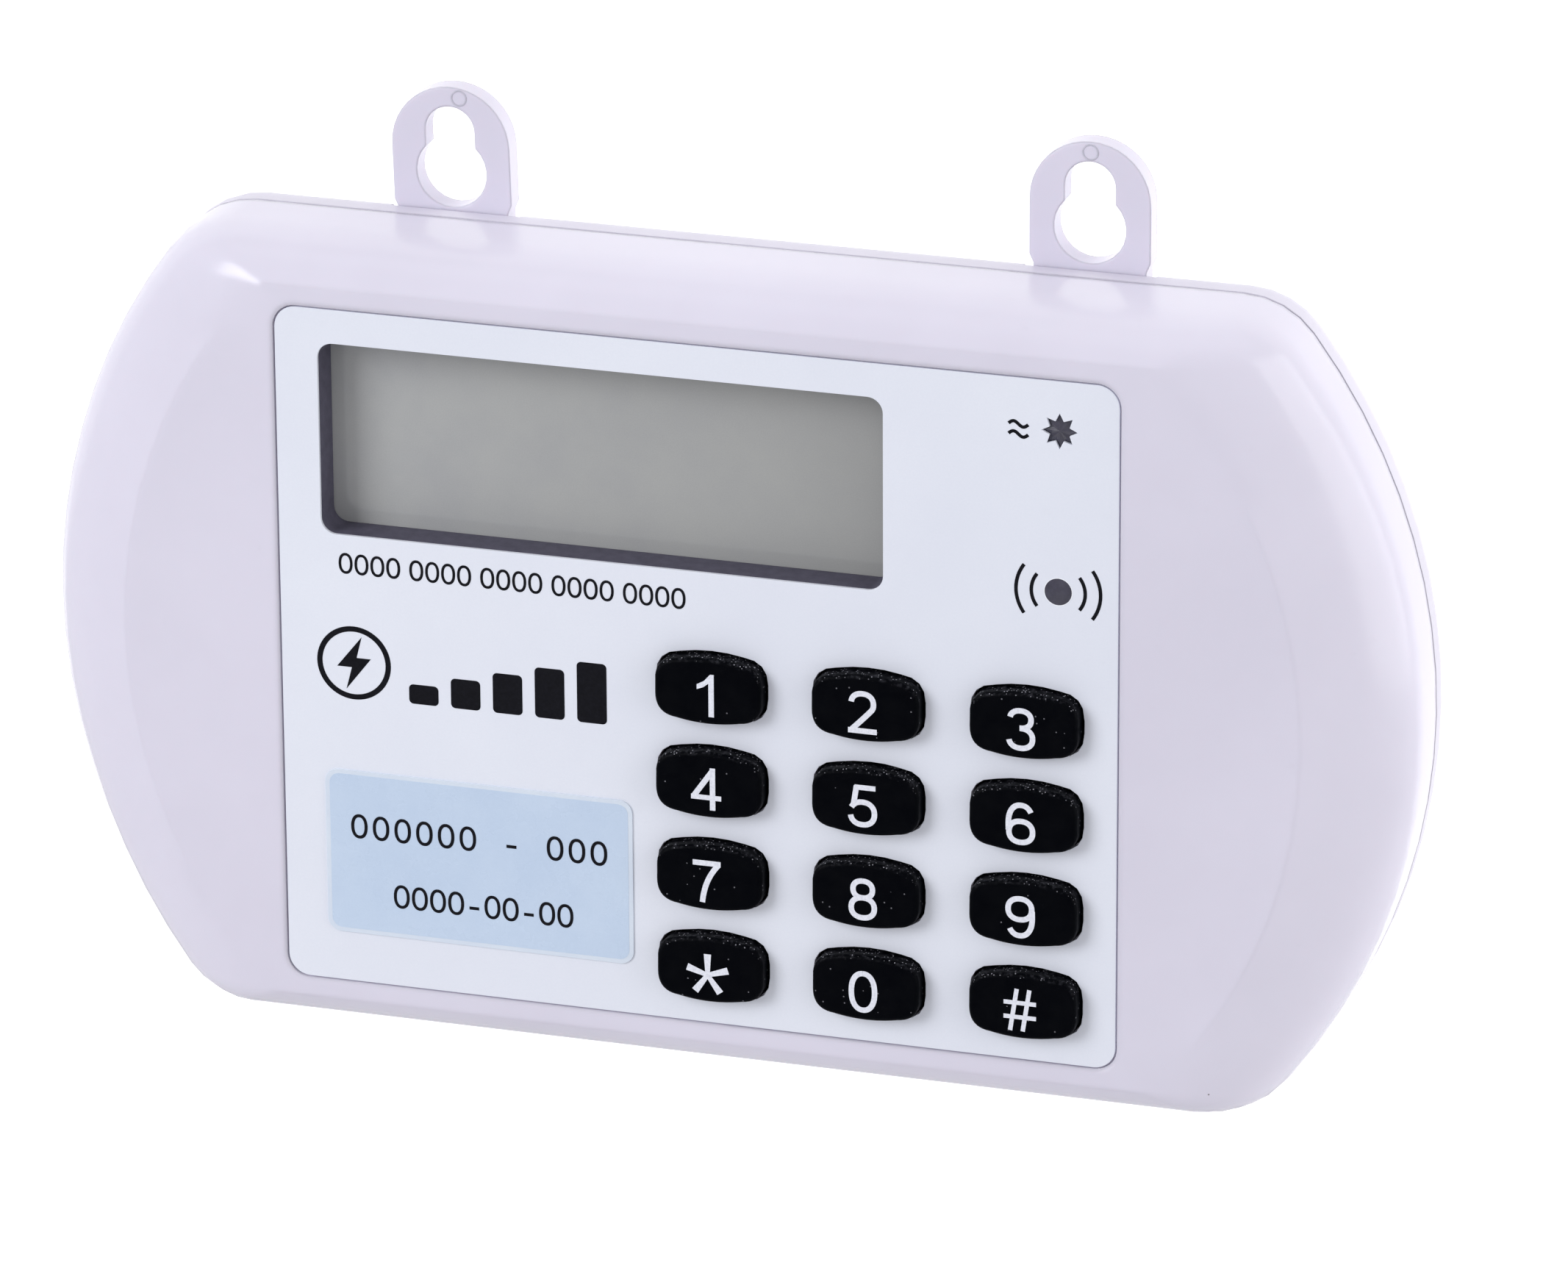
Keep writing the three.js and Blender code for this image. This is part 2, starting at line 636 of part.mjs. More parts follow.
function aerial() {
  const y = BOARD.rearY + AERIAL.lift;
  const route = new THREE.CatmullRomCurve3(
    [
      [-15.4, 9],
      [-13.6, 9.6],
      [-13, 12],
      [-13, 26],
      [-12, 30.4],
      [-8, 31.6],
      [20, 31.6],
    ].map(([x, z]) => new THREE.Vector3(x, y, z)),
  );
  const section = circle(0, 0, AERIAL.radius, THREE.Shape);
  const sweep = { steps: AERIAL.steps, extrudePath: route, curveSegments: 3 };
  return solid(new THREE.ExtrudeGeometry(section, sweep));
}

const CAPACITOR = { x: 18, z: 20, radius: 3.1, length: 11 };

function capacitor() {
  const { x, z, radius, length } = CAPACITOR;
  const geometry = new THREE.CylinderGeometry(radius, radius, length, 20).rotateZ(Math.PI / 2);
  return solid(geometry.translate(x, BOARD.rearY + radius + 2 * CONTACT_GAP, z));
}

// ---- battery bay ----

// A cell along X with its positive nub at the end that `side` points to.
function cell(side) {
  const half = CELL.length / 2;
  const profile = [
    [0, -half],
    [CELL.radius - CELL.edge, -half],
    [CELL.radius, -half + CELL.edge],
    [CELL.radius, half - CELL.nub - CELL.edge],
    [CELL.radius - CELL.edge, half - CELL.nub],
    [CELL.nubRadius, half - CELL.nub],
    [CELL.nubRadius, half],
    [0, half],
  ].map(([radius, along]) => new THREE.Vector2(radius, along));
  const geometry = new THREE.LatheGeometry(profile, 20).rotateZ((-side * Math.PI) / 2);
  return solid(geometry.translate(BAY.x, CELL.y, BAY.z + (side * CELL.pitch) / 2));
}

const CONTACT = { thickness: 0.4, halfHeight: 4.2, rearY: -3.6, frontY: -12.4, reach: 2.3, wallGap: 0.1 };
const SPRING = { turns: 3, steps: 30, footRadius: 3.2, tipRadius: 2, wire: 0.3 };
const DIMPLE = { tipRadius: 1.2, footRadius: 2.4 };

// The inner face of the bay wall on one side, and the direction from it into the bay.
function bayEnd(side) {
  return { x: BAY.x + side * (BAY.width / 2 - CONTACT.wallGap), inward: -side };
}

function contactPlate(side, zLow, zHigh) {
  const { x, inward } = bayEnd(side);
  const faces = [x, x + inward * CONTACT.thickness].sort((a, b) => a - b);
  return box(faces, [CONTACT.frontY, CONTACT.rearY], [zLow, zHigh]);
}

// A conical wire spring that stands on a contact plate.
function contactSpring(side, z) {
  const { x, inward } = bayEnd(side);
  const points = [];
  for (let i = 0; i <= SPRING.steps; i++) {
    const share = i / SPRING.steps;
    const angle = share * SPRING.turns * Math.PI * 2;
    const radius = THREE.MathUtils.lerp(SPRING.footRadius, SPRING.tipRadius, share);
    const along = CONTACT.thickness + share * CONTACT.reach;
    const y = CELL.y + radius * Math.cos(angle);
    points.push(new THREE.Vector3(x + inward * along, y, z + radius * Math.sin(angle)));
  }
  const section = circle(0, 0, SPRING.wire, THREE.Shape);
  const sweep = { steps: SPRING.steps, extrudePath: new THREE.CatmullRomCurve3(points), curveSegments: 3 };
  return solid(new THREE.ExtrudeGeometry(section, sweep));
}

function contactDimple(side, z) {
  const { x, inward } = bayEnd(side);
  const cone = new THREE.CylinderGeometry(DIMPLE.tipRadius, DIMPLE.footRadius, CONTACT.reach, 14);
  const middle = (CONTACT.thickness + CONTACT.reach) / 2;
  return solid(cone.rotateZ((-inward * Math.PI) / 2).translate(x + inward * middle, CELL.y, z));
}

const CELL_Z = { upper: BAY.z + CELL.pitch / 2, lower: BAY.z - CELL.pitch / 2 };

function bridgeContact() {
  return join(
    contactPlate(-1, CELL_Z.lower - CONTACT.halfHeight, CELL_Z.upper + CONTACT.halfHeight),
    contactSpring(-1, CELL_Z.upper),
    contactDimple(-1, CELL_Z.lower),
  );
}

function singleContact(z, feature) {
  return join(contactPlate(1, z - CONTACT.halfHeight, z + CONTACT.halfHeight), feature(1, z));
}

// The door's two hook tabs: a stem towards the front and a toe that points down.
const HOOK = { frontY: -2.9, rearY: -2.15, stem: 1.2, toe: 0.9, root: 0.2 };

function batteryDoor() {
  const grow = DOOR.margin - GAP;
  const size = { ...BAY, width: BAY.width + 2 * grow, height: BAY.height + 2 * grow };
  const footZ = BAY.z - size.height / 2;
  const tabs = [-1, 1].map((side) => {
    const x = BAY.x + side * DOOR.tabX;
    const span = [x - DOOR.tab / 2, x + DOOR.tab / 2];
    return join(
      box(span, [HOOK.frontY, DOOR.frontY + HOOK.root], [footZ + 0.1, footZ + HOOK.stem]),
      box(span, [HOOK.frontY, HOOK.rearY], [footZ - HOOK.toe, footZ + HOOK.stem / 2]),
    );
  });
  const ribs = Array.from({ length: RIBS.count }, (_, i) => {
    const z = BAY.z + BAY.height / 2 - RIBS.below - i * RIBS.pitch;
    const across = [BAY.x - RIBS.halfWidth, BAY.x + RIBS.halfWidth];
    return box(across, [DOOR.rearY - RIBS.depth, 0], [z - RIBS.halfHeight, z + RIBS.halfHeight]);
  });
  return cut(join(block(size, DOOR.frontY, DOOR.rearY), ...tabs), ...ribs);
}

// ---- hanging lugs ----

// A lug about x = 0: keyhole tab above the case, narrower neck in the top wall, and rails in the groove.
function lugSolid() {
  const outline = new THREE.Shape();
  outline.moveTo(LUG.halfWidth, LUG.shoulderZ);
  outline.lineTo(LUG.halfWidth, LUG.roundZ);
  outline.absarc(0, LUG.roundZ, LUG.halfWidth, 0, Math.PI);
  outline.lineTo(-LUG.halfWidth, LUG.shoulderZ);
  outline.lineTo(-LUG.neck, LUG.shoulderZ - 1);
  outline.lineTo(-LUG.neck, LUG.footZ);
  outline.lineTo(LUG.neck, LUG.footZ);
  outline.lineTo(LUG.neck, LUG.shoulderZ - 1);
  outline.closePath();
  const keyhole = new THREE.Path();
  const meet = Math.asin(LUG.slotRadius / LUG.holeRadius);
  keyhole.absarc(0, LUG.holeZ, LUG.holeRadius, Math.PI / 2 + meet, Math.PI * 2.5 - meet);
  keyhole.absarc(0, LUG.slotZ, LUG.slotRadius, 0, Math.PI);
  keyhole.closePath();
  outline.holes.push(keyhole);
  const rails = box([-LUG.rail, LUG.rail], [LUG.frontY, LUG.railY], [LUG.footZ, LUG.railTopZ]);
  return join(plate(outline, LUG.rearY, LUG.rearY - LUG.frontY, 10), rails);
}

// ---- materials and the assembly ----

function material(color, roughness, metalness = 0) {
  return new THREE.MeshStandardMaterial({ color, roughness, metalness });
}

const CASE_PLASTIC = () => material(0xddd9e7, 0.25);
const KEY_RUBBER = () => material(0x101012, 0.7);
const BOARD_GREEN = () => material(0x1f5a35, 0.5);
const BLACK_RESIN = () => material(0x17171a, 0.6);
const NICKEL = () => material(0xb9b9bd, 0.3, 1);
const TINTED = () => material(0x3e3c4b, 0.15);

function mesh(name, body, look) {
  const { vertProperties, triVerts, numProp } = body.getMesh();
  if (numProp !== 3) throw new Error(name + " carries more than positions");
  const geometry = new THREE.BufferGeometry();
  geometry.setAttribute("position", new THREE.BufferAttribute(vertProperties, 3));
  geometry.setIndex(new THREE.BufferAttribute(triVerts, 1));
  geometry.computeVertexNormals();
  const made = new THREE.Mesh(geometry, look);
  made.name = name;
  return made;
}

const meter = new THREE.Group();

meter.add(
  mesh("front_cover", frontCover(), CASE_PLASTIC()),
  mesh("rear_cover", rearCover(), CASE_PLASTIC()),
  mesh("panel_overlay", panelOverlay(), material(0xe0e4ee, 0.45)),
  mesh("information_label", informationLabel(), material(0xc1d2e8, 0.4)),
  mesh("display_gasket", displayGasket(), material(0x4a4757, 0.8)),
  mesh("display_glass", displayGlass(), material(0x9ea09d, 0.15)),
  mesh("contact_strip_upper", contactStrip(1), material(0x8a7f8f, 0.8)),
  mesh("contact_strip_lower", contactStrip(-1), material(0x8a7f8f, 0.8)),
  mesh("keypad_mat", keypadMat(), KEY_RUBBER()),
  mesh("signal_lens", lens(SIGNAL), TINTED()),
  mesh("supply_lens", lens(SUPPLY), TINTED()),
  mesh("signal_lamp", lamp(SIGNAL), material(0x8fb98a, 0.1)),
  mesh("supply_lamp", lamp(SUPPLY), material(0xb98a8a, 0.1)),
);

KEYS.forEach((place) => meter.add(mesh(place.name, key(place), KEY_RUBBER())));

meter.add(
  mesh("circuit_board", circuitBoard(), BOARD_GREEN()),
  mesh("microcontroller", microcontroller(), BLACK_RESIN()),
  mesh("crystal", crystal(), NICKEL()),
  mesh("radio_module", radioModule(), NICKEL()),
  mesh("aerial", aerial(), material(0xb87333, 0.35, 1)),
  mesh("buzzer", buzzer(), BLACK_RESIN()),
  mesh("capacitor", capacitor(), material(0x22242c, 0.4)),
);

BOARD_POSTS.forEach((place, i) => {
  meter.add(mesh(`board_screw_${i + 1}`, screw(place, BOARD_SCREW), NICKEL()));
});
BOSSES.forEach((place, i) => {
  meter.add(mesh(`case_screw_${i + 1}`, screw(place, CASE_SCREW), NICKEL()));
});

meter.add(
  mesh("battery_upper", cell(1), material(0x2b4a7a, 0.4)),
  mesh("battery_lower", cell(-1), material(0x2b4a7a, 0.4)),
  mesh("battery_bridge_contact", bridgeContact(), NICKEL()),
  mesh("battery_positive_contact", singleContact(CELL_Z.upper, contactDimple), NICKEL()),
  mesh("battery_negative_contact", singleContact(CELL_Z.lower, contactSpring), NICKEL()),
  mesh("battery_door", batteryDoor(), CASE_PLASTIC()),
  mesh(
    "rating_label",
    block(RATING, -RATING.recess, -RATING.recess + RATING.thickness),
    material(0xc9c9c9, 0.4),
  ),
);

const lugShape = lugSolid();
[
  ["hanging_lug_left", LUG_LEFT],
  ["hanging_lug_right", LUG_RIGHT],
].forEach(([name, { x, lift, lean }]) => {
  const pivotZ = (LUG.footZ + LUG.railTopZ) / 2;
  const lug = mesh(name, lugShape.translate([0, 0, -pivotZ]), CASE_PLASTIC());
  lug.position.set(x, 0, pivotZ + lift);
  lug.rotation.y = THREE.MathUtils.degToRad(-lean);
  meter.add(lug);
});

export default meter;
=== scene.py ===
"""The looks of a wall-hung prepaid meter unit, built in Blender around its CAD frame.

Metres. +X is right, +Y goes into the wall, +Z is up, and the front faces -Y. Sizes are given in
millimetres and multiplied by MM. Printed marks are generic: digits, zeros, a bolt and plain bars.
"""
import math

import bmesh
import bpy
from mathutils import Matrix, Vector


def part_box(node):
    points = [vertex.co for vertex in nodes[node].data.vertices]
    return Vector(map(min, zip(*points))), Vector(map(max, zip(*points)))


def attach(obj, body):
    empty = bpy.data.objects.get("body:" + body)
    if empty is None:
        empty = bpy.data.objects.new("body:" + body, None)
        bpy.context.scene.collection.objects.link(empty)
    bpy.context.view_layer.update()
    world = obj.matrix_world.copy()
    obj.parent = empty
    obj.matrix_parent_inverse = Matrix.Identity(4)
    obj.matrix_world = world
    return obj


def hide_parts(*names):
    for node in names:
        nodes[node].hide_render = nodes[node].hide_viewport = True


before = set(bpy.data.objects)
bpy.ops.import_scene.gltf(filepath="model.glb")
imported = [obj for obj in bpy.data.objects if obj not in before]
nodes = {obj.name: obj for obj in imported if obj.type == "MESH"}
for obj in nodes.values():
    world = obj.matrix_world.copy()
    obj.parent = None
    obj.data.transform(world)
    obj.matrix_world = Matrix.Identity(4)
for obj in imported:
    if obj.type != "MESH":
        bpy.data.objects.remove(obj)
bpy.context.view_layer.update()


def centre_of(name):
    """The x and z of the middle of a node's box."""
    low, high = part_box(name)
    return ((low.x + high.x) / 2, (low.z + high.z) / 2)


MM = 0.001
PRINT = 0.02 * MM
LAYER = 0.002 * MM
LAYERS = 5
FULL_RING = 359.9
PANEL_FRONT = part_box("panel_overlay")[0].y
PANEL_CENTRE = centre_of("panel_overlay")

# ---- colours ----


def linear(level):
    """Linear light of a display level from 0 to 255."""
    share = level / 255
    return share / 12.92 if share <= 0.04045 else ((share + 0.055) / 1.055) ** 2.4


def display(red, green, blue):
    return (linear(red), linear(green), linear(blue), 1.0)


# ---- node set-ups that the materials share ----

MIX_COLOR_INPUTS = (0, 6, 7)
MIX_COLOR_OUTPUT = 2
BEVEL_SAMPLES = 4


class Surface:
    """A Principled material with a few helpers for procedural detail."""

    def __init__(self, name, roughness, metallic=0.0, **constants):
        self.material = bpy.data.materials.new(name)
        self.material.use_nodes = True
        self.tree = self.material.node_tree
        self.shader = self.tree.nodes["Principled BSDF"]
        self.place = self.add("ShaderNodeTexCoord").outputs["Object"]
        self.shader.inputs["Roughness"].default_value = roughness
        self.shader.inputs["Metallic"].default_value = metallic
        for socket, value in constants.items():
            self.shader.inputs[socket.replace("_", " ")].default_value = value

    def add(self, kind, **settings):
        node = self.tree.nodes.new(kind)
        for name, value in settings.items():
            setattr(node, name, value)
        return node

    def join(self, source, target):
        self.tree.links.new(source, target)

    def give(self, socket, value):
        """Link a socket to another node's output, or set it to a constant."""
        if isinstance(value, bpy.types.NodeSocket):
            self.join(value, socket)
        else:
            socket.default_value = value

    def fill(self, node, **values):
        """Set or link a node's inputs by name."""
        for name, value in values.items():
            self.give(node.inputs[name.replace("_", " ")], value)
        return node

    def stretched(self, scale):
        mapping = self.fill(self.add("ShaderNodeMapping"), Vector=self.place, Scale=scale)
        return mapping.outputs["Vector"]

    def noise(self, feature, detail=4.0, rough=0.6, stretch=(1, 1, 1)):
        """Cloudy noise from 0 to 1 whose features are about `feature` millimetres across."""
        node = self.fill(
            self.add("ShaderNodeTexNoise"),
            Vector=self.stretched(stretch),
            Scale=1 / (feature * MM),
            Detail=detail,
            Roughness=rough,
        )
        return node.outputs["Fac"]

    def remap(self, value, low, high, to_low=0.0, to_high=1.0):
        """Stretch the span from `low` to `high` over the span from `to_low` to `to_high`."""
        node = self.add("ShaderNodeMapRange")
        self.fill(node, Value=value, From_Min=low, From_Max=high, To_Min=to_low, To_Max=to_high)
        return node.outputs["Result"]

    def math(self, operation, first, second):
        node = self.add("ShaderNodeMath", operation=operation)
        self.give(node.inputs[0], first)
        self.give(node.inputs[1], second)
        return node.outputs[0]

    def specks(self, cell, size, share):
        """1 on round specks and 0 elsewhere: one speck of `size` in a `share` of the cells.

        `cell` and `size` are in millimetres."""
        cells = self.add("ShaderNodeTexVoronoi")
        self.fill(cells, Vector=self.place, Scale=1 / (cell * MM))
        inside = self.math("LESS_THAN", cells.outputs["Distance"], size / cell)
        split = self.fill(self.add("ShaderNodeSeparateColor"), Color=cells.outputs["Color"])
        return self.math("MULTIPLY", inside, self.math("LESS_THAN", split.outputs[0], share))

    def part(self, axis):
        """The position along one axis, in metres."""
        return self.fill(self.add("ShaderNodeSeparateXYZ"), Vector=self.place).outputs[axis]

    def facing(self, axis):
        """How much the surface faces along one world axis."""
        normal = self.add("ShaderNodeNewGeometry").outputs["Normal"]
        return self.fill(self.add("ShaderNodeSeparateXYZ"), Vector=normal).outputs[axis]

    def mix(self, share, first, second):
        node = self.add("ShaderNodeMix", data_type="RGBA")
        for index, value in zip(MIX_COLOR_INPUTS, (share, first, second)):
            self.give(node.inputs[index], value)
        return node.outputs[MIX_COLOR_OUTPUT]

    def color(self, source):
        self.join(source, self.shader.inputs["Base Color"])

    def roughness(self, source, low, high):
        self.join(self.remap(source, 0.3, 0.7, low, high), self.shader.inputs["Roughness"])

    def soft_edges(self, radius):
        """Shading normals rounded over `radius`, in metres, at the edges of the mesh."""
        node = self.fill(self.add("ShaderNodeBevel", samples=BEVEL_SAMPLES), Radius=radius)
        return node.outputs["Normal"]

    def relief(self, height, depth, strength=1.0, below=None):
        """Bump whose full height is `depth` millimetres."""
        node = self.fill(self.add("ShaderNodeBump"), Height=height, Strength=strength)
        node.inputs["Distance"].default_value = depth * MM
        if below:
            self.join(below, node.inputs["Normal"])
        self.join(node.outputs["Normal"], self.shader.inputs["Normal"])
        return node.outputs["Normal"]


# ---- materials ----

COVER_SOFTNESS = 1.1 * MM
REAR_SOFTNESS = 0.3 * MM
LUG_SOFTNESS = 0.45 * MM


def case_plastic(name, translucency, softness):
    """Glossy lavender-white ABS with faint colour drift, handling smudges and a few dark specks."""
    surface = Surface(name, 0.18, Specular_IOR_Level=0.5)
    surface.shader.inputs["Subsurface Weight"].default_value = translucency
    surface.shader.inputs["Subsurface Radius"].default_value = (1.0, 0.62, 0.68)
    surface.shader.inputs["Subsurface Scale"].default_value = 1.6 * MM
    drift = surface.remap(surface.noise(38), 0.35, 0.65)
    plain = surface.mix(drift, display(225, 221, 235), display(220, 216, 230))
    grime = surface.remap(surface.noise(3, detail=8), 0.66, 0.85, 0, 0.10)
    dusty = surface.mix(grime, plain, display(176, 168, 178))
    speck = surface.math("MULTIPLY", surface.specks(9, 0.13, 0.16), 0.75)
    surface.color(surface.mix(speck, dusty, display(70, 62, 66)))
    surface.roughness(surface.noise(14, detail=6), 0.15, 0.24)
    edges = surface.soft_edges(softness)
    wave = surface.relief(surface.noise(22, detail=1), 0.02, 0.5, below=edges)
    surface.relief(surface.noise(0.5, detail=2), 0.002, 0.5, below=wave)
    return surface.material


def textured_plastic():
    """The rear cover's spark-eroded face: the same plastic, finely grained and less glossy."""
    surface = Surface("rear_plastic", 0.42)
    drift = surface.remap(surface.noise(45), 0.35, 0.65)
    plain = surface.mix(drift, display(222, 218, 232), display(216, 212, 224))
    scuff = surface.remap(surface.noise(7, detail=9, stretch=(1, 1, 3)), 0.62, 0.8, 0, 0.22)
    surface.color(surface.mix(scuff, plain, display(170, 165, 172)))
    surface.roughness(surface.noise(9), 0.34, 0.5)
    edges = surface.soft_edges(REAR_SOFTNESS)
    surface.relief(surface.noise(0.35, detail=3), 0.03, 0.7, below=edges)
    return surface.material


def panel_film():
    """Satin pearl membrane, with the fine grain of its print."""
    surface = Surface("panel_film", 0.36, Coat_Weight=0.25, Coat_Roughness=0.3)
    drift = surface.remap(surface.noise(30), 0.35, 0.65)
    plain = surface.mix(drift, display(235, 238, 247), display(231, 234, 244))
    grain = surface.remap(surface.noise(0.25, detail=2), 0.3, 0.7, 0, 0.16)
    fine = surface.mix(grain, plain, display(217, 222, 236))
    rubbed = surface.remap(surface.noise(5, detail=7), 0.64, 0.82, 0, 0.2)
    surface.color(surface.mix(rubbed, fine, display(216, 216, 226)))
    surface.roughness(surface.noise(6, detail=6), 0.3, 0.44)
    surface.relief(surface.noise(0.3, detail=2), 0.006, 0.6)
    return surface.material


def label_film():
    """Clear border of the stuck-on label: nearly the panel's colour, glossier."""
    surface = Surface("label_film", 0.2, Coat_Weight=0.5, Coat_Roughness=0.12)
    drift = surface.remap(surface.noise(6), 0.35, 0.65)
    surface.color(surface.mix(drift, display(222, 231, 242), display(216, 226, 240)))
    surface.roughness(surface.noise(4), 0.16, 0.28)
    return surface.material


def label_blue():
    """Pale blue print of the label, a little uneven."""
    surface = Surface("label_blue", 0.28, Coat_Weight=0.4, Coat_Roughness=0.15)
    drift = surface.remap(surface.noise(9, detail=5), 0.35, 0.65)
    plain = surface.mix(drift, display(204, 220, 240), display(197, 214, 236))
    grain = surface.remap(surface.noise(0.2, detail=2), 0.3, 0.7, 0, 0.14)
    surface.color(surface.mix(grain, plain, display(180, 199, 223)))
    surface.roughness(surface.noise(5), 0.22, 0.34)
    surface.relief(surface.noise(8, detail=1), 0.02, 0.4)
    return surface.material


def print_ink(name, ink, worn):
    """Printed ink, slightly patchy; also used for the painted highlight round the signal window."""
    surface = Surface(name, 0.38, Specular_IOR_Level=0.15)
    patch = surface.remap(surface.noise(0.3, detail=5), 0.4, 0.8, 0, 1)
    surface.color(surface.mix(patch, ink, worn))
    surface.roughness(surface.noise(0.8), 0.3, 0.46)
    return surface.material


def key_rubber():
    """Matt black silicone with pale dust, thickest on the upper walls and the shoulders."""
    surface = Surface("key_rubber", 0.42, Specular_IOR_Level=0.03)
    drift = surface.remap(surface.noise(2.5, detail=6), 0.35, 0.65)
    plain = surface.mix(drift, display(2, 3, 7), display(6, 7, 11))
    upper = surface.remap(surface.facing("Z"), 0.1, 0.8)
    film = surface.math("MULTIPLY", surface.remap(surface.noise(0.5, detail=8), 0.5, 0.75), upper)
    hazy = surface.mix(surface.math("MULTIPLY", film, 0.35), plain, display(96, 96, 104))
    sparse = surface.math("MULTIPLY", surface.specks(0.75, 0.085, 0.3), 0.3)
    thick = surface.math("MULTIPLY", surface.specks(0.32, 0.07, 0.5), upper)
    dust = surface.math("MAXIMUM", sparse, surface.math("MULTIPLY", thick, 0.6))
    surface.color(surface.mix(dust, hazy, display(190, 190, 198)))
    surface.roughness(surface.noise(1.2, detail=6), 0.34, 0.52)
    surface.relief(surface.noise(0.3, detail=4), 0.01, 0.5)
    return surface.material


def black_rubber():
    surface = Surface("mat_rubber", 0.6)
    drift = surface.remap(surface.noise(3), 0.35, 0.65)
    surface.color(surface.mix(drift, display(22, 22, 25), display(33, 33, 37)))
    surface.relief(surface.noise(0.4, detail=3), 0.01, 0.5)
    return surface.material


def foam():
    """Closed-cell foam of the display gasket."""
    surface = Surface("gasket_foam", 0.7)
    drift = surface.remap(surface.noise(1.2, detail=6), 0.3, 0.7)
    surface.color(surface.mix(drift, display(74, 72, 88), display(88, 85, 102)))
    surface.relief(surface.noise(0.25, detail=4), 0.04, 0.6)
    return surface.material


def display_face():
    """Unlit liquid-crystal glass: grey-green, glossy, a little mottled, with painted shade darkening
    it towards its right side.
    """
    surface = Surface("display_face", 0.16, Coat_Weight=0.6, Coat_Roughness=0.06)
    mottle = surface.remap(surface.noise(7, detail=3), 0.35, 0.65)
    plain = surface.mix(mottle, display(179, 180, 179), display(173, 174, 175))
    low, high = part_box("display_glass")
    # Painted shade: the glass is darkened from left to right, standing in for light that falls off
    # across it.
    painted_falloff = surface.remap(surface.part("X"), low.x, high.x)
    with_painted_shade = surface.mix(surface.math("MULTIPLY", painted_falloff, 0.8), plain, display(164, 164, 161))
    grain = surface.remap(surface.noise(0.15, detail=1), 0.3, 0.7, 0, 0.12)
    surface.color(surface.mix(grain, with_painted_shade, display(132, 136, 134)))
    surface.roughness(surface.noise(5), 0.12, 0.2)
    return surface.material


def conductive_strip():
    """Zebra connector: thin dark and pale layers across its length."""
    surface = Surface("contact_rubber", 0.6)
    layers = surface.add("ShaderNodeTexWave", wave_type="BANDS", bands_direction="X")
    surface.fill(layers, Vector=surface.place, Scale=1 / (1.2 * MM), Distortion=0.0)
    surface.color(surface.mix(layers.outputs["Fac"], display(40, 36, 42), display(190, 170, 186)))
    return surface.material


def smoked_lens():
    """Tinted window of an indicator lamp."""
    surface = Surface("smoked_lens", 0.09, Coat_Weight=0.5, Coat_Roughness=0.05)
    depth = surface.remap(surface.noise(1.1, detail=3), 0.3, 0.7)
    surface.color(surface.mix(depth, display(52, 50, 63), display(66, 64, 80)))
    surface.roughness(surface.noise(0.6), 0.06, 0.16)
    return surface.material


def lamp_epoxy(name, tint, deep):
    surface = Surface(name, 0.12, Transmission_Weight=0.35)
    cloud = surface.remap(surface.noise(1.5), 0.3, 0.7)
    surface.color(surface.mix(cloud, tint, deep))
    surface.roughness(surface.noise(1), 0.08, 0.2)
    return surface.material


def solder_mask():
    """Green board with tracks just visible under the mask."""
    surface = Surface("solder_mask", 0.3, Coat_Weight=0.3, Coat_Roughness=0.15)
    weave = surface.remap(surface.noise(0.8, detail=2), 0.35, 0.65)
    plain = surface.mix(weave, display(24, 84, 50), display(30, 98, 58))
    tracks = surface.add("ShaderNodeTexBrick", offset=0.37, squash=0.6)
    surface.fill(tracks, Vector=surface.place, Scale=1 / (6 * MM), Mortar_Size=0.05)
    faint = surface.math("MULTIPLY", tracks.outputs["Fac"], 0.5)
    surface.color(surface.mix(faint, plain, display(74, 142, 84)))
    surface.relief(tracks.outputs["Fac"], 0.03, 0.6)
    return surface.material


def resin():
    surface = Surface("chip_resin", 0.5)
    drift = surface.remap(surface.noise(1.2, detail=7), 0.35, 0.65)
    surface.color(surface.mix(drift, display(30, 30, 33), display(42, 42, 46)))
    surface.relief(surface.noise(0.15, detail=3), 0.01, 0.6)
    return surface.material


def bright_metal(name, bright, dull, low, high, grain):
    """Plated metal with a drawn grain and duller patches."""
    surface = Surface(name, low, metallic=1.0)
    patch = surface.remap(surface.noise(2.4, detail=7), 0.38, 0.68)
    surface.color(surface.mix(patch, bright, dull))
    surface.roughness(surface.noise(0.5, detail=5, stretch=grain), low, high)
    surface.relief(surface.noise(0.2, detail=3, stretch=grain), 0.006, 0.5)
    return surface.material


def sleeve():
    surface = Surface("capacitor_sleeve", 0.3)
    drift = surface.remap(surface.noise(2), 0.35, 0.65)
    surface.color(surface.mix(drift, display(30, 32, 40), display(42, 44, 54)))
    surface.relief(surface.noise(1.2, detail=2), 0.02, 0.4)
    return surface.material


def battery_jacket():
    """Printed jacket of a cell, with a bare metal look at the positive end band."""
    surface = Surface("battery_jacket", 0.26, Coat_Weight=0.4, Coat_Roughness=0.12)
    low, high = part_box("battery_upper")
    band_start = low.x + 0.72 * (high.x - low.x)
    end_band = surface.math("GREATER_THAN", surface.part("X"), band_start)
    drift = surface.remap(surface.noise(5), 0.35, 0.65)
    plain = surface.mix(drift, display(36, 66, 118), display(44, 78, 134))
    banded = surface.mix(end_band, plain, display(206, 208, 214))
    scratch = surface.remap(surface.noise(0.6, detail=8, stretch=(0.15, 1, 1)), 0.66, 0.78, 0, 0.5)
    surface.color(surface.mix(scratch, banded, display(150, 156, 170)))
    surface.roughness(surface.noise(3), 0.2, 0.36)
    return surface.material


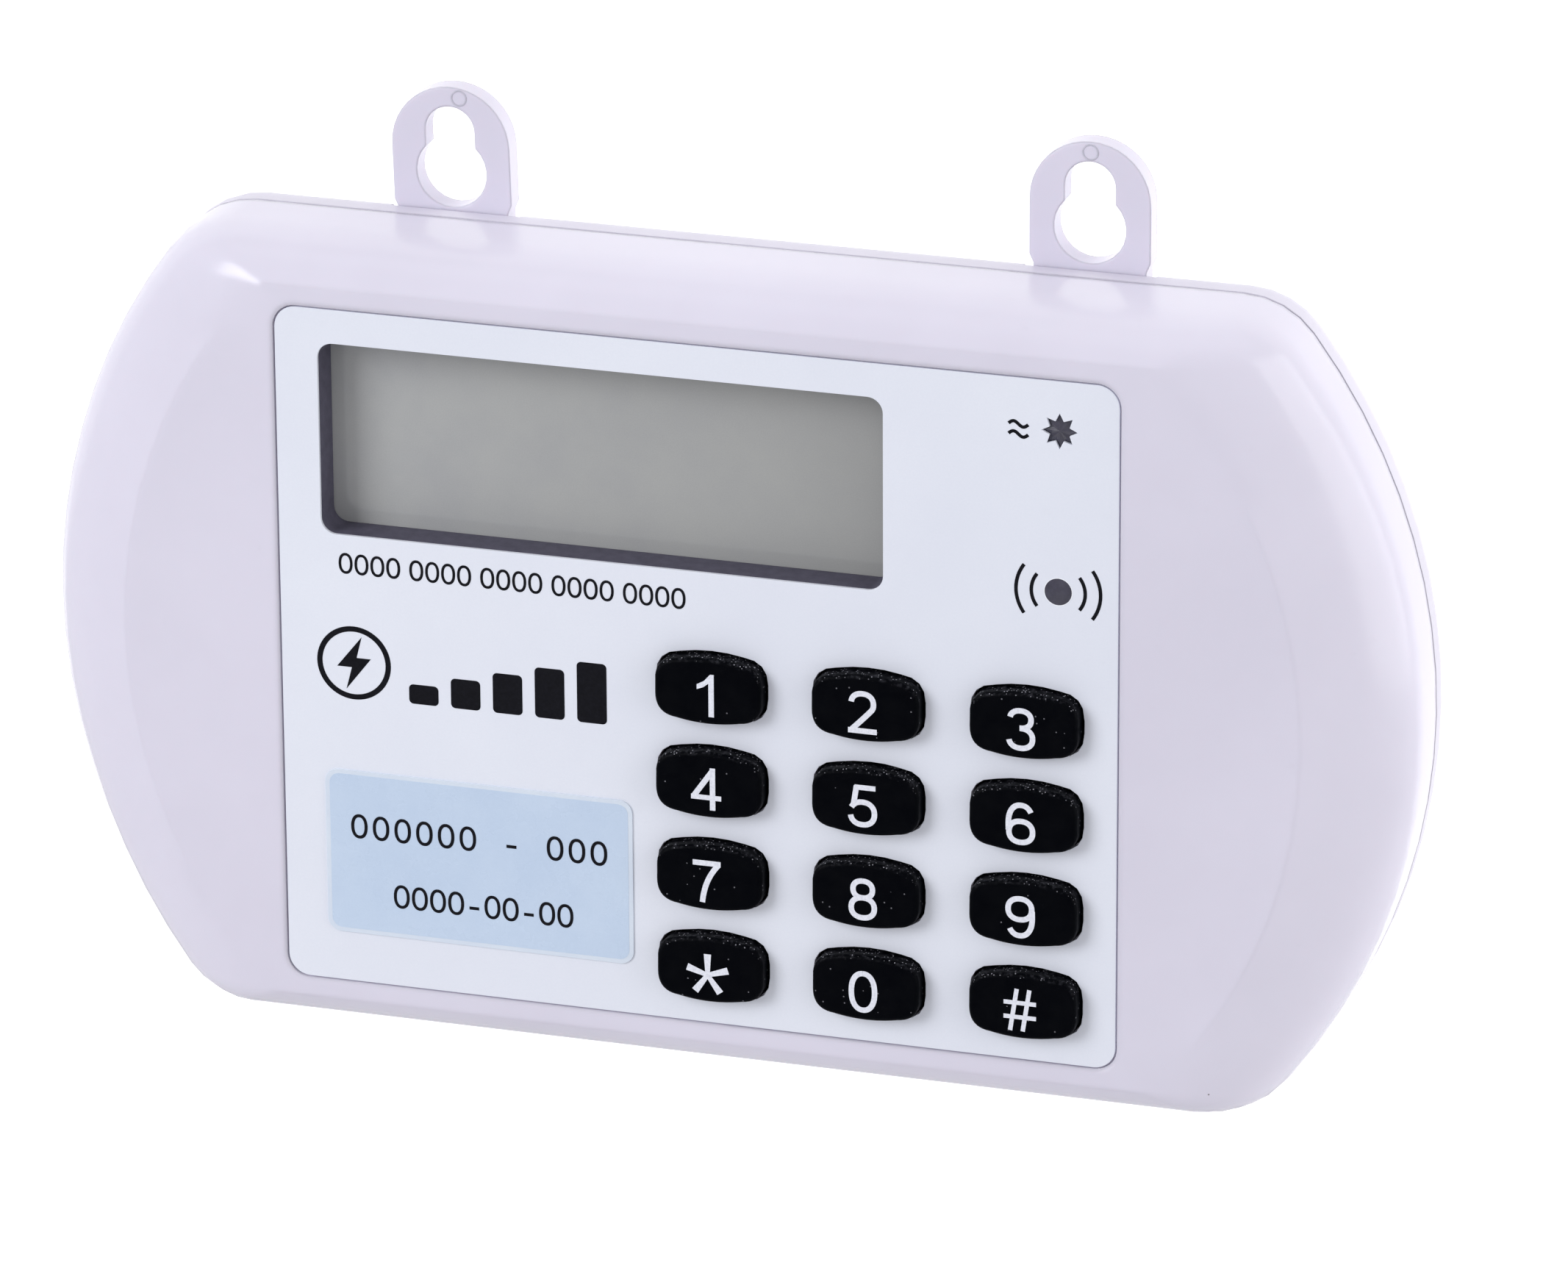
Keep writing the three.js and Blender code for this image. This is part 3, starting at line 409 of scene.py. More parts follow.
def silver_paper():
    """Brushed silver-grey rating label."""
    surface = Surface("silver_paper", 0.34, metallic=0.35)
    brush = surface.remap(surface.noise(0.5, detail=5, stretch=(0.05, 1, 1)), 0.3, 0.7)
    surface.color(surface.mix(brush, display(206, 207, 210), display(188, 189, 194)))
    surface.roughness(surface.noise(0.6, stretch=(0.08, 1, 1)), 0.28, 0.44)
    return surface.material


def stage_paper(name, level, glow):
    """Plain pale paper of the studio, lit from behind where `glow` is above 0."""
    surface = Surface(name, 0.7)
    drift = surface.remap(surface.noise(400), 0.35, 0.65)
    bright = display(level, level, level)
    cool = display(level - 2, level - 2, level)
    surface.color(surface.mix(drift, bright, cool))
    surface.shader.inputs["Emission Color"].default_value = (1, 1, 1, 1)
    surface.shader.inputs["Emission Strength"].default_value = glow
    return surface.material


CASE = case_plastic("case_plastic", 0.08, COVER_SOFTNESS)
LUG_PLASTIC = case_plastic("lug_plastic", 0.15, LUG_SOFTNESS)
REAR = textured_plastic()
PANEL = panel_film()
LABEL = label_film()
BLUE = label_blue()
BLACK_INK = print_ink("black_ink", display(9, 9, 16), display(20, 20, 28))
WHITE_INK = print_ink("white_ink", display(236, 238, 246), display(206, 208, 220))
# Painted highlight: a ring lighter than the membrane round the signal window, standing in for the lit
# edge of its opening.
RIM_HIGHLIGHT_PAINT = print_ink("rim_highlight_paint", display(248, 250, 255), display(238, 242, 250))
KEY = key_rubber()
LENS = smoked_lens()
NICKEL = bright_metal(
    "nickel_plate", display(200, 200, 204), display(160, 160, 166), 0.2, 0.38, (1, 1, 1)
)
SPRING = bright_metal(
    "spring_steel", display(208, 206, 200), display(168, 166, 162), 0.22, 0.4, (0.2, 1, 1)
)
COPPER = bright_metal(
    "copper_wire", display(202, 128, 76), display(150, 88, 52), 0.24, 0.4, (0.1, 1, 1)
)

# ---- finishes on the CAD pieces ----

WELD_REACH = 0.002 * MM
FLAT_ANGLE = 0.4
HARD_EDGE = 36
COVER_HARD_EDGE = 21
REAR_HARD_EDGE = 30
LUG_HARD_EDGE = 30


def clear_imported_shading(mesh):
    for attribute in ("custom_normal", "sharp_edge", "sharp_face"):
        if attribute in mesh.attributes:
            mesh.attributes.remove(mesh.attributes[attribute])
    mesh.shade_smooth()


def soften(piece, width, crease):
    """Merge coplanar triangles, then bevel edges sharper than `crease` degrees."""
    flat = piece.modifiers.new("merge_flats", "DECIMATE")
    flat.decimate_type = "DISSOLVE"
    flat.angle_limit = math.radians(FLAT_ANGLE)
    bevel = piece.modifiers.new("soft_edges", "BEVEL")
    bevel.width = width
    bevel.segments = 4
    bevel.limit_method = "ANGLE"
    bevel.angle_limit = math.radians(crease)
    bevel.use_clamp_overlap = False


def finish(name, material, edge=0.0, crease=24, hard=HARD_EDGE):
    """Give a CAD piece its material, soft edges of `edge` millimetres, and clean shading."""
    piece = nodes[name]
    clear_imported_shading(piece.data)
    piece.data.materials.clear()
    piece.data.materials.append(material)
    weld = piece.modifiers.new("weld", "WELD")
    weld.merge_threshold = WELD_REACH
    if edge:
        soften(piece, edge * MM, crease)
    split = piece.modifiers.new("hard_edges", "EDGE_SPLIT")
    split.split_angle = math.radians(hard)
    split.use_edge_sharp = False
    normals = piece.modifiers.new("even_normals", "WEIGHTED_NORMAL")
    normals.keep_sharp = False
    normals.weight = 70


def finish_outside():
    finish("front_cover", CASE, hard=COVER_HARD_EDGE)
    finish("rear_cover", REAR, hard=REAR_HARD_EDGE)
    finish("battery_door", REAR, 0.15, crease=30)
    finish("panel_overlay", PANEL, 0.05)
    finish("information_label", LABEL, 0.03)
    finish("rating_label", silver_paper(), 0.03)
    for name in ("signal_lens", "supply_lens"):
        finish(name, LENS, 0.05)
    for name in ("hanging_lug_left", "hanging_lug_right"):
        finish(name, LUG_PLASTIC, hard=LUG_HARD_EDGE)


def finish_display_and_keypad():
    strip = conductive_strip()
    finish("display_gasket", foam(), 0.1)
    finish("display_glass", display_face())
    finish("keypad_mat", black_rubber(), 0.1)
    for name in ("contact_strip_upper", "contact_strip_lower"):
        finish(name, strip, 0.05)


def finish_board():
    green = lamp_epoxy("green_epoxy", display(150, 190, 150), display(120, 168, 124))
    red = lamp_epoxy("red_epoxy", display(196, 130, 124), display(170, 96, 92))
    epoxy = resin()
    finish("circuit_board", solder_mask(), 0.05)
    finish("capacitor", sleeve(), 0.3)
    finish("aerial", COPPER)
    finish("signal_lamp", green)
    finish("supply_lamp", red)
    for name in ("microcontroller", "buzzer"):
        finish(name, epoxy, 0.08)
    for name in ("crystal", "radio_module"):
        finish(name, NICKEL, 0.1)


def finish_screws_and_battery():
    jacket = battery_jacket()
    for name in ("battery_upper", "battery_lower"):
        finish(name, jacket, 0.15)
    for index in range(1, 5):
        finish(f"board_screw_{index}", NICKEL, 0.06)
        finish(f"case_screw_{index}", NICKEL, 0.08)
    for end in ("bridge", "positive", "negative"):
        finish(f"battery_{end}_contact", SPRING, 0.03)


# ---- meshes made here ----


def mesh_from(shape, name):
    """Turn a bmesh into a mesh with outward faces, and free it."""
    bmesh.ops.recalc_face_normals(shape, faces=shape.faces)
    mesh = bpy.data.meshes.new(name)
    shape.to_mesh(mesh)
    shape.free()
    return mesh


def show(name, mesh, material, body, smooth=False):
    """Put a mesh in the scene, on its body."""
    mesh.materials.append(material)
    mesh.polygons.foreach_set("use_smooth", [smooth] * len(mesh.polygons))
    piece = bpy.data.objects.new(name, mesh)
    bpy.context.scene.collection.objects.link(piece)
    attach(piece, body)
    return piece


def plate(name, outlines, first_front, thickness, material, body="case"):
    """Flat plates from outlines of (x, z) points, from the y of their front face.

    Crossing strokes are stepped by a hair so that no two faces coincide."""
    shape = bmesh.new()
    for layer, outline in enumerate(outlines):
        front = first_front - (layer % LAYERS) * LAYER
        near = [shape.verts.new((x, front, z)) for x, z in outline]
        far = [shape.verts.new((x, first_front + thickness, z)) for x, z in outline]
        shape.faces.new(near)
        shape.faces.new(far[::-1])
        for i, corner in enumerate(near):
            after = (i + 1) % len(near)
            shape.faces.new((corner, far[i], far[after], near[after]))
    show(name, mesh_from(shape, name), material, body)


def panel_print(name, outlines):
    """Black print on the membrane."""
    plate(name, outlines, PANEL_FRONT - PRINT, PRINT, BLACK_INK)


def arc(centre, radius, start, end, steps=24):
    """Points on an arc; angles in degrees from +X towards +Z."""
    turns = [math.radians(start + (end - start) * i / steps) for i in range(steps + 1)]
    return [(centre[0] + radius * math.cos(a), centre[1] + radius * math.sin(a)) for a in turns]


def band(centre, inner, outer, start, end, steps=24):
    """The outline of a stroke along an arc, with flat ends."""
    return arc(centre, outer, start, end, steps) + arc(centre, inner, end, start, steps)


def rounded(centre, width, height, radius, steps=8):
    """The outline of a rectangle with round corners."""
    across = width / 2 - radius
    up = height / 2 - radius
    points = []
    for turn, (side, rise) in enumerate(((1, 1), (-1, 1), (-1, -1), (1, -1))):
        corner = (centre[0] + side * across, centre[1] + rise * up)
        points += arc(corner, radius, 90 * turn, 90 * turn + 90, steps)
    return points


# ---- a plain stroke alphabet of generic characters ----

STROKE = 0.126
ROUND = 2.25
HUB = 0.47


def oval(centre, reach, start=90.0, end=-270.0, steps=40):
    """Points on a slightly squared oval; angles in degrees."""
    points = []
    for i in range(steps + 1):
        turn = math.radians(start + (end - start) * i / steps)
        along, up = math.cos(turn), math.sin(turn)
        bulge = (abs(along) ** ROUND + abs(up) ** ROUND) ** (-1 / ROUND)
        points.append((centre[0] + reach[0] * along * bulge, centre[1] + reach[1] * up * bulge))
    return points


def ribbon(line, thick):
    """The outline of a stroke of even thickness along a line of points."""
    near, far = [], []
    for i, (x, z) in enumerate(line):
        before = line[max(i - 1, 0)]
        after = line[min(i + 1, len(line) - 1)]
        along = (after[0] - before[0], after[1] - before[1])
        length = math.hypot(*along)
        shift = (-along[1] / length * thick / 2, along[0] / length * thick / 2)
        near.append((x + shift[0], z + shift[1]))
        far.append((x - shift[0], z - shift[1]))
    return near + far[::-1]


def bezier(start, control, end, steps):
    """Points of a quadratic curve, without its last one."""
    points = []
    for i in range(steps):
        t = i / steps
        a, b, c = (1 - t) ** 2, 2 * t * (1 - t), t * t
        points.append(tuple(a * s + b * m + c * e for s, m, e in zip(start, control, end)))
    return points


def bend(start, control, end, steps=14):
    """Points of a quadratic curve with its last one."""
    return bezier(start, control, end, steps) + [end]


def two():
    hook = oval((0.33, 0.7), (0.255, 0.237), 172, -20, 28)
    tail = bend((0.55, 0.57), (0.4, 0.4), (0.09, 0.09))
    foot = [(0.0, STROKE / 2), (0.66, STROKE / 2)]
    return [ribbon(hook + tail, STROKE), ribbon(foot, STROKE)]


def six():
    hook = oval((0.345, 0.5), (0.283, 0.437), 38, 180, 24) + [(0.065, 0.33)]
    return [ribbon(hook, STROKE), ribbon(oval((0.345, 0.31), (0.27, 0.247)), STROKE)]


def hash_mark():
    thick = 0.1
    uprights = [[(x, 0.0), (x + 0.15, 1.0)] for x in (0.15, 0.44)]
    levels = [[(0.0, z), (0.745, z)] for z in (0.33, 0.67)]
    return [ribbon(line, thick) for line in uprights + levels]


def asterisk():
    """Five arms that widen outwards."""
    arms = []
    for i in range(5):
        turn = math.radians(90 + 72 * i)
        along = (math.cos(turn), math.sin(turn))
        across = (-along[1], along[0])
        corners = ((0, -0.05), (0.5, -0.085), (0.5, 0.085), (0, 0.05))
        arms.append([tuple(HUB + a * along[k] + w * across[k] for k in (0, 1)) for a, w in corners])
    return arms


GLYPHS = {
    "0": [ribbon(oval((0.333, 0.5), (0.27, 0.437)), STROKE)],
    "1": [
        [(0.395, 0), (0.27, 0), (0.27, 0.785), (0.15, 0.69), (0, 0.63)]
        + [(0, 0.745), (0.17, 0.84), (0.31, 1), (0.395, 1)]
    ],
    "2": two(),
    "3": [
        ribbon(oval((0.31, 0.735), (0.24, 0.202), 168, -95, 28), STROKE),
        ribbon(oval((0.315, 0.295), (0.27, 0.232), 95, -168, 28), STROKE),
    ],
    "4": [
        ribbon([(0.5, 0.0), (0.5, 1.0)], STROKE),
        ribbon([(0.0, 0.295), (0.7, 0.295)], STROKE * 0.92),
        ribbon([(0.5, 0.94), (0.055, 0.3)], STROKE),
    ],
    "5": [
        ribbon([(0.14, 0.94), (0.62, 0.94)], STROKE * 0.95),
        ribbon([(0.185, 0.97), (0.11, 0.49)], STROKE),
        ribbon(oval((0.32, 0.33), (0.277, 0.267), 152, -168, 32), STROKE),
    ],
    "6": six(),
    "7": [
        ribbon([(0.0, 0.94), (0.65, 0.94)], STROKE),
        ribbon(bend((0.6, 0.92), (0.27, 0.55), (0.22, 0.0)), STROKE),
    ],
    "8": [
        ribbon(oval((0.33, 0.737), (0.225, 0.2)), STROKE),
        ribbon(oval((0.33, 0.3), (0.267, 0.237)), STROKE),
    ],
    "9": [[(0.66 - x, 1 - z) for x, z in stroke] for stroke in six()],
    "#": hash_mark(),
    "*": asterisk(),
    "-": [ribbon([(0.1, 0.37), (0.5, 0.37)], STROKE)],
    " ": [],
}


def written(words, centre, height, advance):
    """Outlines of a row of characters about `centre`, one every `advance`, all in metres."""
    outlines = []
    for i, word in enumerate(words):
        strokes = GLYPHS[word]
        xs = [x for stroke in strokes for x, z in stroke]
        middle = (min(xs) + max(xs)) / 2 if xs else 0
        foot = centre[0] + (i - (len(words) - 1) / 2) * advance - middle * height
        base = centre[1] - height / 2
        for stroke in strokes:
            outlines.append([(foot + x * height, base + z * height) for x, z in stroke])
    return outlines


# ---- keys ----

KEY_HALF = (5.875 * MM, 3.7 * MM)
KEY_BOW = 0.55 * MM
KEY_CORNER = 2.4 * MM
KEY_SHOULDER = 0.5 * MM
KEY_SMOOTH_ANGLE = 40
KEY_FLANGE_GAP = 1.6 * MM
KEY_FLANGE = 0.9 * MM
KEY_FLANGE_CORNER = 0.4 * MM
KEY_PLUNGER = (8.6 * MM, 5.4 * MM)
KEY_PLUNGER_CORNER = 0.5 * MM
SHOULDER_STEPS = 6
LEGENDS = {f"key_{digit}": digit for digit in "1234567890"}
LEGENDS.update(key_star="*", key_hash="#")
LEGEND_HEIGHT = 4.76 * MM
LEGEND_SHIFT = (-0.2 * MM, -0.38 * MM)


def key_outline(centre, grow, steps=10):
    """A key's outline: straight sides, rounded corners, bowed top and bottom."""
    half_x = KEY_HALF[0] + grow
    half_z = KEY_HALF[1] + grow
    corner = KEY_CORNER + grow
    shoulder = half_z - KEY_BOW
    brow = shoulder + KEY_BOW * 0.35
    crown = half_z + KEY_BOW * 0.65
    side = shoulder - corner
    reach = half_x - corner
    upper = bezier((half_x, side), (half_x, shoulder), (reach, brow), steps)
    upper += bezier((reach, brow), (0, crown), (-reach, brow), 2 * steps)
    upper += bezier((-reach, brow), (-half_x, shoulder), (-half_x, side), steps)
    above = [(centre[0] + x, centre[1] + z) for x, z in upper]
    below = [(centre[0] - x, centre[1] - z) for x, z in upper]
    return above + below


def closed_stack(shape, rings):
    """Skin a list of equal rings of (x, y, z) points and close both ends."""
    loops = [[shape.verts.new(point) for point in ring] for ring in rings]
    for near, far in zip(loops, loops[1:]):
        for i, corner in enumerate(near):
            after = (i + 1) % len(near)
            shape.faces.new((corner, far[i], far[after], near[after]))
    shape.faces.new(loops[0])
    shape.faces.new(loops[-1][::-1])


def cap_rings(centre, front, flange_front):
    """Rings down a key's cap: the round shoulder, then the straight wall."""
    rings = []
    for step in range(SHOULDER_STEPS + 1):
        turn = math.radians(90 * step / SHOULDER_STEPS)
        grow = -KEY_SHOULDER * (1 - math.sin(turn))
        y = front + KEY_SHOULDER * (1 - math.cos(turn))
        rings.append([(x, y, z) for x, z in key_outline(centre, grow)])
    rings.append([(x, flange_front, z) for x, z in key_outline(centre, 0)])
    return rings


def key_piece(name):
    """A moulded key with round shoulders, its retaining flange and its plunger."""
    low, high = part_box(name)
    centre = centre_of(name)
    flange_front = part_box("panel_overlay")[1].y + KEY_FLANGE_GAP
    flange_rear = flange_front + KEY_FLANGE
    flange = rounded(centre, high.x - low.x, high.z - low.z, KEY_FLANGE_CORNER)
    plunger = rounded(centre, *KEY_PLUNGER, KEY_PLUNGER_CORNER)
    shape = bmesh.new()
    closed_stack(shape, cap_rings(centre, low.y, flange_front))
    closed_stack(shape, [[(x, y, z) for x, z in flange] for y in (flange_front, flange_rear)])
    closed_stack(shape, [[(x, y, z) for x, z in plunger] for y in (flange_rear, high.y)])
    mesh = mesh_from(shape, name + "_moulding")
    piece = show(name + "_moulding", mesh, KEY, name, smooth=True)
    mesh.set_sharp_from_angle(angle=math.radians(KEY_SMOOTH_ANGLE))
    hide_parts(name)
    spot = (centre[0] + LEGEND_SHIFT[0], centre[1] + LEGEND_SHIFT[1])
    strokes = written(LEGENDS[name], spot, LEGEND_HEIGHT, 0)
    plate(name + "_legend", strokes, low.y - PRINT, PRINT, WHITE_INK, name)


# ---- marks on the membrane ----

ARC_THICK = 0.38 * MM
ARCS = ((2.9 * MM, 38), (4.55 * MM, 36))
WAVE_LEFT = 34.25
WAVE_LEVELS = (31.85, 32.95)
WAVE_WIDTH = 2.1 * MM
WAVE_RISE = 0.3 * MM
WAVE_THICK = 0.36 * MM
TOKEN_GROUPS = 5
TOKEN_SPAN = (-40.0, -0.4)
TOKEN_LEVEL = 9.8
TOKEN_HEIGHT = 2.35 * MM
TOKEN_ADVANCE = 1.78 * MM
BOLT = ((0.9, 3.0), (-1.9, -0.5), (-0.25, -0.5), (-0.9, -3.0), (1.9, 0.6), (0.3, 0.6))
BOLT_CENTRE = (-38.0, -1.4)
BOLT_RING = (3.55 * MM, 4.15 * MM)
BARS = 5
BAR_FOOT = (-30.2, -5.3)
BAR_PITCH = 4.7
BAR_WIDTH = 3.3
FIRST_BAR = 2.2
BAR_RISE = 1.15
BAR_CORNER = 0.5 * MM
LABEL_BORDER = 0.5 * MM
LABEL_CORNER = 1.1 * MM


def on_panel(x, z):
    """A point given in millimetres from the panel's centre."""
    return (PANEL_CENTRE[0] + x * MM, PANEL_CENTRE[1] + z * MM)


def wave_stroke(left, steps=20):
    """The outline of one wavy stroke that starts at `left`."""
    upper, lower = [], []
    for i in range(steps + 1):
        share = i / steps
        x = left[0] + share * WAVE_WIDTH
        z = left[1] + WAVE_RISE * math.sin(2 * math.pi * share)
        slope = 2 * math.pi * WAVE_RISE / WAVE_WIDTH * math.cos(2 * math.pi * share)
        across = WAVE_THICK / 2 / math.hypot(1, slope)
        upper.append((x - slope * across, z + across))
        lower.append((x + slope * across, z - across))
    return upper + lower[::-1]


def signal_arcs():
    """Two curved strokes on each side of the round window."""
    centre = centre_of("signal_lens")
    half = ARC_THICK / 2
    strokes = []
    for radius, spread in ARCS:
        for side in (0, 180):
            strokes.append(band(centre, radius - half, radius + half, side - spread, side + spread))
    panel_print("signal_arcs", strokes)


def supply_waves():
    """Two wavy strokes beside the star window."""
    strokes = [wave_stroke(on_panel(WAVE_LEFT, level)) for level in WAVE_LEVELS]
    panel_print("supply_waves", strokes)


def token_row():
    """A row of generic zeros in groups of four, as long as a prepaid token."""
    left, right = TOKEN_SPAN
    pitch = (right - left) / TOKEN_GROUPS
    zeros = []
    for i in range(TOKEN_GROUPS):
        middle = on_panel(left + pitch * (i + 0.5), TOKEN_LEVEL)
        zeros += written("0000", middle, TOKEN_HEIGHT, TOKEN_ADVANCE)
    panel_print("token_row", zeros)


def supply_pictogram():
    """A generic mark: a bolt in a ring, then five rising bars."""
    centre = on_panel(*BOLT_CENTRE)
    ring = band(centre, *BOLT_RING, 0, FULL_RING, 72)
    bolt = [(centre[0] + x * MM, centre[1] + z * MM) for x, z in BOLT]
    panel_print("bolt_ring", [ring, bolt])
    bars = []
    for i in range(BARS):
        height = FIRST_BAR + BAR_RISE * i
        middle = on_panel(BAR_FOOT[0] + BAR_PITCH * i, BAR_FOOT[1] + height / 2)
        bars.append(rounded(middle, BAR_WIDTH * MM, height * MM, BAR_CORNER))
    panel_print("level_bars", bars)


def label_print():
    """The blue field of the stuck-on label and two generic lines of zeros."""
    low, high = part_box("information_label")
    centre = centre_of("information_label")
    width = high.x - low.x - 2 * LABEL_BORDER
    height = high.z - low.z - 2 * LABEL_BORDER
    field = rounded(centre, width, height, LABEL_CORNER)
    front = low.y - PRINT
    plate("label_field", [field], front, PRINT, BLUE)
    upper = (centre[0], centre[1] + 3.0 * MM)
    lower = (centre[0] + 0.4 * MM, centre[1] - 4.6 * MM)
    zeros = written("000000 - 000", upper, 2.8 * MM, 2.45 * MM)
    zeros += written("0000-00-00", lower, 2.7 * MM, 2.05 * MM)
    plate("label_lines", zeros, front - PRINT, PRINT, BLACK_INK)


# ---- faceted indicator windows ----

STAR_OUTER = 1.95 * MM
STAR_INNER = 1.15 * MM
STAR_PEAK = 0.3 * MM
DOT_RADIUS = 1.46 * MM
DOT_PEAK = 0.16 * MM
# Inner and outer radius of the painted highlight ring round the signal window.
RIM_HIGHLIGHT_RADII = (1.47 * MM, 1.56 * MM)


def gem(name, outline, summit, peak, seat):
    """A shallow faceted window: a point raised by `peak`, joined to an outline that lies at `seat`."""
    shape = bmesh.new()
    rim = [shape.verts.new((x, seat, z)) for x, z in outline]
    top = shape.verts.new((summit[0], seat - peak, summit[1]))
    for i, corner in enumerate(rim):
        shape.faces.new((corner, rim[(i + 1) % len(rim)], top))
    shape.faces.new(rim)
    show(name, mesh_from(shape, name), LENS, "case")


def star(centre, outer, inner, points=8):
    """The outline of a star with one point straight up."""
    outline = []
    for i in range(2 * points):
        turn = math.pi * i / points
        reach = inner if i % 2 else outer
        outline.append((centre[0] + reach * math.sin(turn), centre[1] + reach * math.cos(turn)))
    return outline


def indicator_windows():
    """The star lies just below the membrane; the round window covers its aperture."""
    sun = centre_of("supply_lens")
    below_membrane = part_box("supply_lens")[0].y - PRINT
    gem("supply_gem", star(sun, STAR_OUTER, STAR_INNER), sun, STAR_PEAK, below_membrane)
    dot = centre_of("signal_lens")
    rim = arc(dot, DOT_RADIUS, 0, 360, 36)[:-1]
    summit = (dot[0] + 0.35 * MM, dot[1] + 0.3 * MM)
    gem("signal_gem", rim, summit, DOT_PEAK, PANEL_FRONT - PRINT)
    # A painted highlight ring, lighter than the membrane, for the lit edge of the window's opening.
    rim_highlight_ring = band(dot, *RIM_HIGHLIGHT_RADII, 0, FULL_RING, 48)
    plate("signal_rim_highlight", [rim_highlight_ring], PANEL_FRONT - PRINT, PRINT, RIM_HIGHLIGHT_PAINT)


# ---- the rating label's print ----

ROW_SHARES = (0.86, 0.62, 0.74, 0.5)
ROW_REACH = 0.6
FIRST_ROW = 3.4 * MM
ROW_PITCH = 3.2 * MM
CODE_BARS = 14


def rating_print():
    """Generic rows and bars on the rating label, on the rear face."""
    low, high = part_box("rating_label")
    width = high.x - low.x
    marks = []
    for i, share in enumerate(ROW_SHARES):
        z = high.z - FIRST_ROW - ROW_PITCH * i
        length = share * width * ROW_REACH
        middle = high.x - 2 * MM - length / 2
        marks.append(rounded((middle, z), length, 0.9 * MM, 0.3 * MM))
    bars_z = centre_of("rating_label")[1] - 3.5 * MM
    for i in range(CODE_BARS):
        x = low.x + (3.0 + 0.8 * i) * MM
        thick = 0.5 * MM if i % 3 == 0 else 0.28 * MM
        marks.append(rounded((x, bars_z), thick, 7 * MM, 0.05 * MM, 2))
    plate("rating_rows", marks, high.y, PRINT, BLACK_INK)


# ---- ejector marks on the hanging lugs ----

MARK_SHIFT = {"hanging_lug_left": 0.55 * MM, "hanging_lug_right": 0.0}
MARK_DROP = 1.15 * MM
MARK_RING = (0.72 * MM, 0.9 * MM)


def ejector_mark(name):
    """A round moulding mark above the slot of a lug, moved over where the lug leans."""
    low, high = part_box(name)
    apex = (centre_of(name)[0] + MARK_SHIFT[name], high.z - MARK_DROP)
    ring = band(apex, *MARK_RING, 0, FULL_RING, 32)
    plate(name + "_mark", [ring], low.y - 0.03 * MM, 0.06 * MM, LUG_PLASTIC, name)


# ---- stage, lights and camera ----

AZIMUTH = math.radians(17.51)
ELEVATION = math.radians(20.73)
ROLL = math.radians(-0.30)
DISTANCE = 1.061
LENS_LENGTH = 230.4
SENSOR_WIDTH = 36
AIM = Vector((PANEL_CENTRE[0] + 6.57 * MM, -10 * MM, PANEL_CENTRE[1] + 2.46 * MM))


def camera():
    """The photographer's place: to the right and above, aimed near the middle of the front."""
    flat = math.cos(ELEVATION)
    back = Vector((math.sin(AZIMUTH) * flat, -math.cos(AZIMUTH) * flat, math.sin(ELEVATION)))
    right = Vector((math.cos(AZIMUTH), math.sin(AZIMUTH), 0))
    up = back.cross(right)
    rolled_right = math.cos(ROLL) * right + math.sin(ROLL) * up
    rolled_up = math.cos(ROLL) * up - math.sin(ROLL) * right
    data = bpy.data.cameras.new("camera")
    data.lens = LENS_LENGTH
    data.sensor_width = SENSOR_WIDTH
    eye = bpy.data.objects.new("camera", data)
    bpy.context.scene.collection.objects.link(eye)
    turned = eye.matrix_world.copy()
    for column, axis in enumerate((rolled_right, rolled_up, back)):
        for row in range(3):
            turned[row][column] = axis[row]
    turned.translation = AIM + DISTANCE * back
    eye.matrix_world = turned
    bpy.context.scene.camera = eye


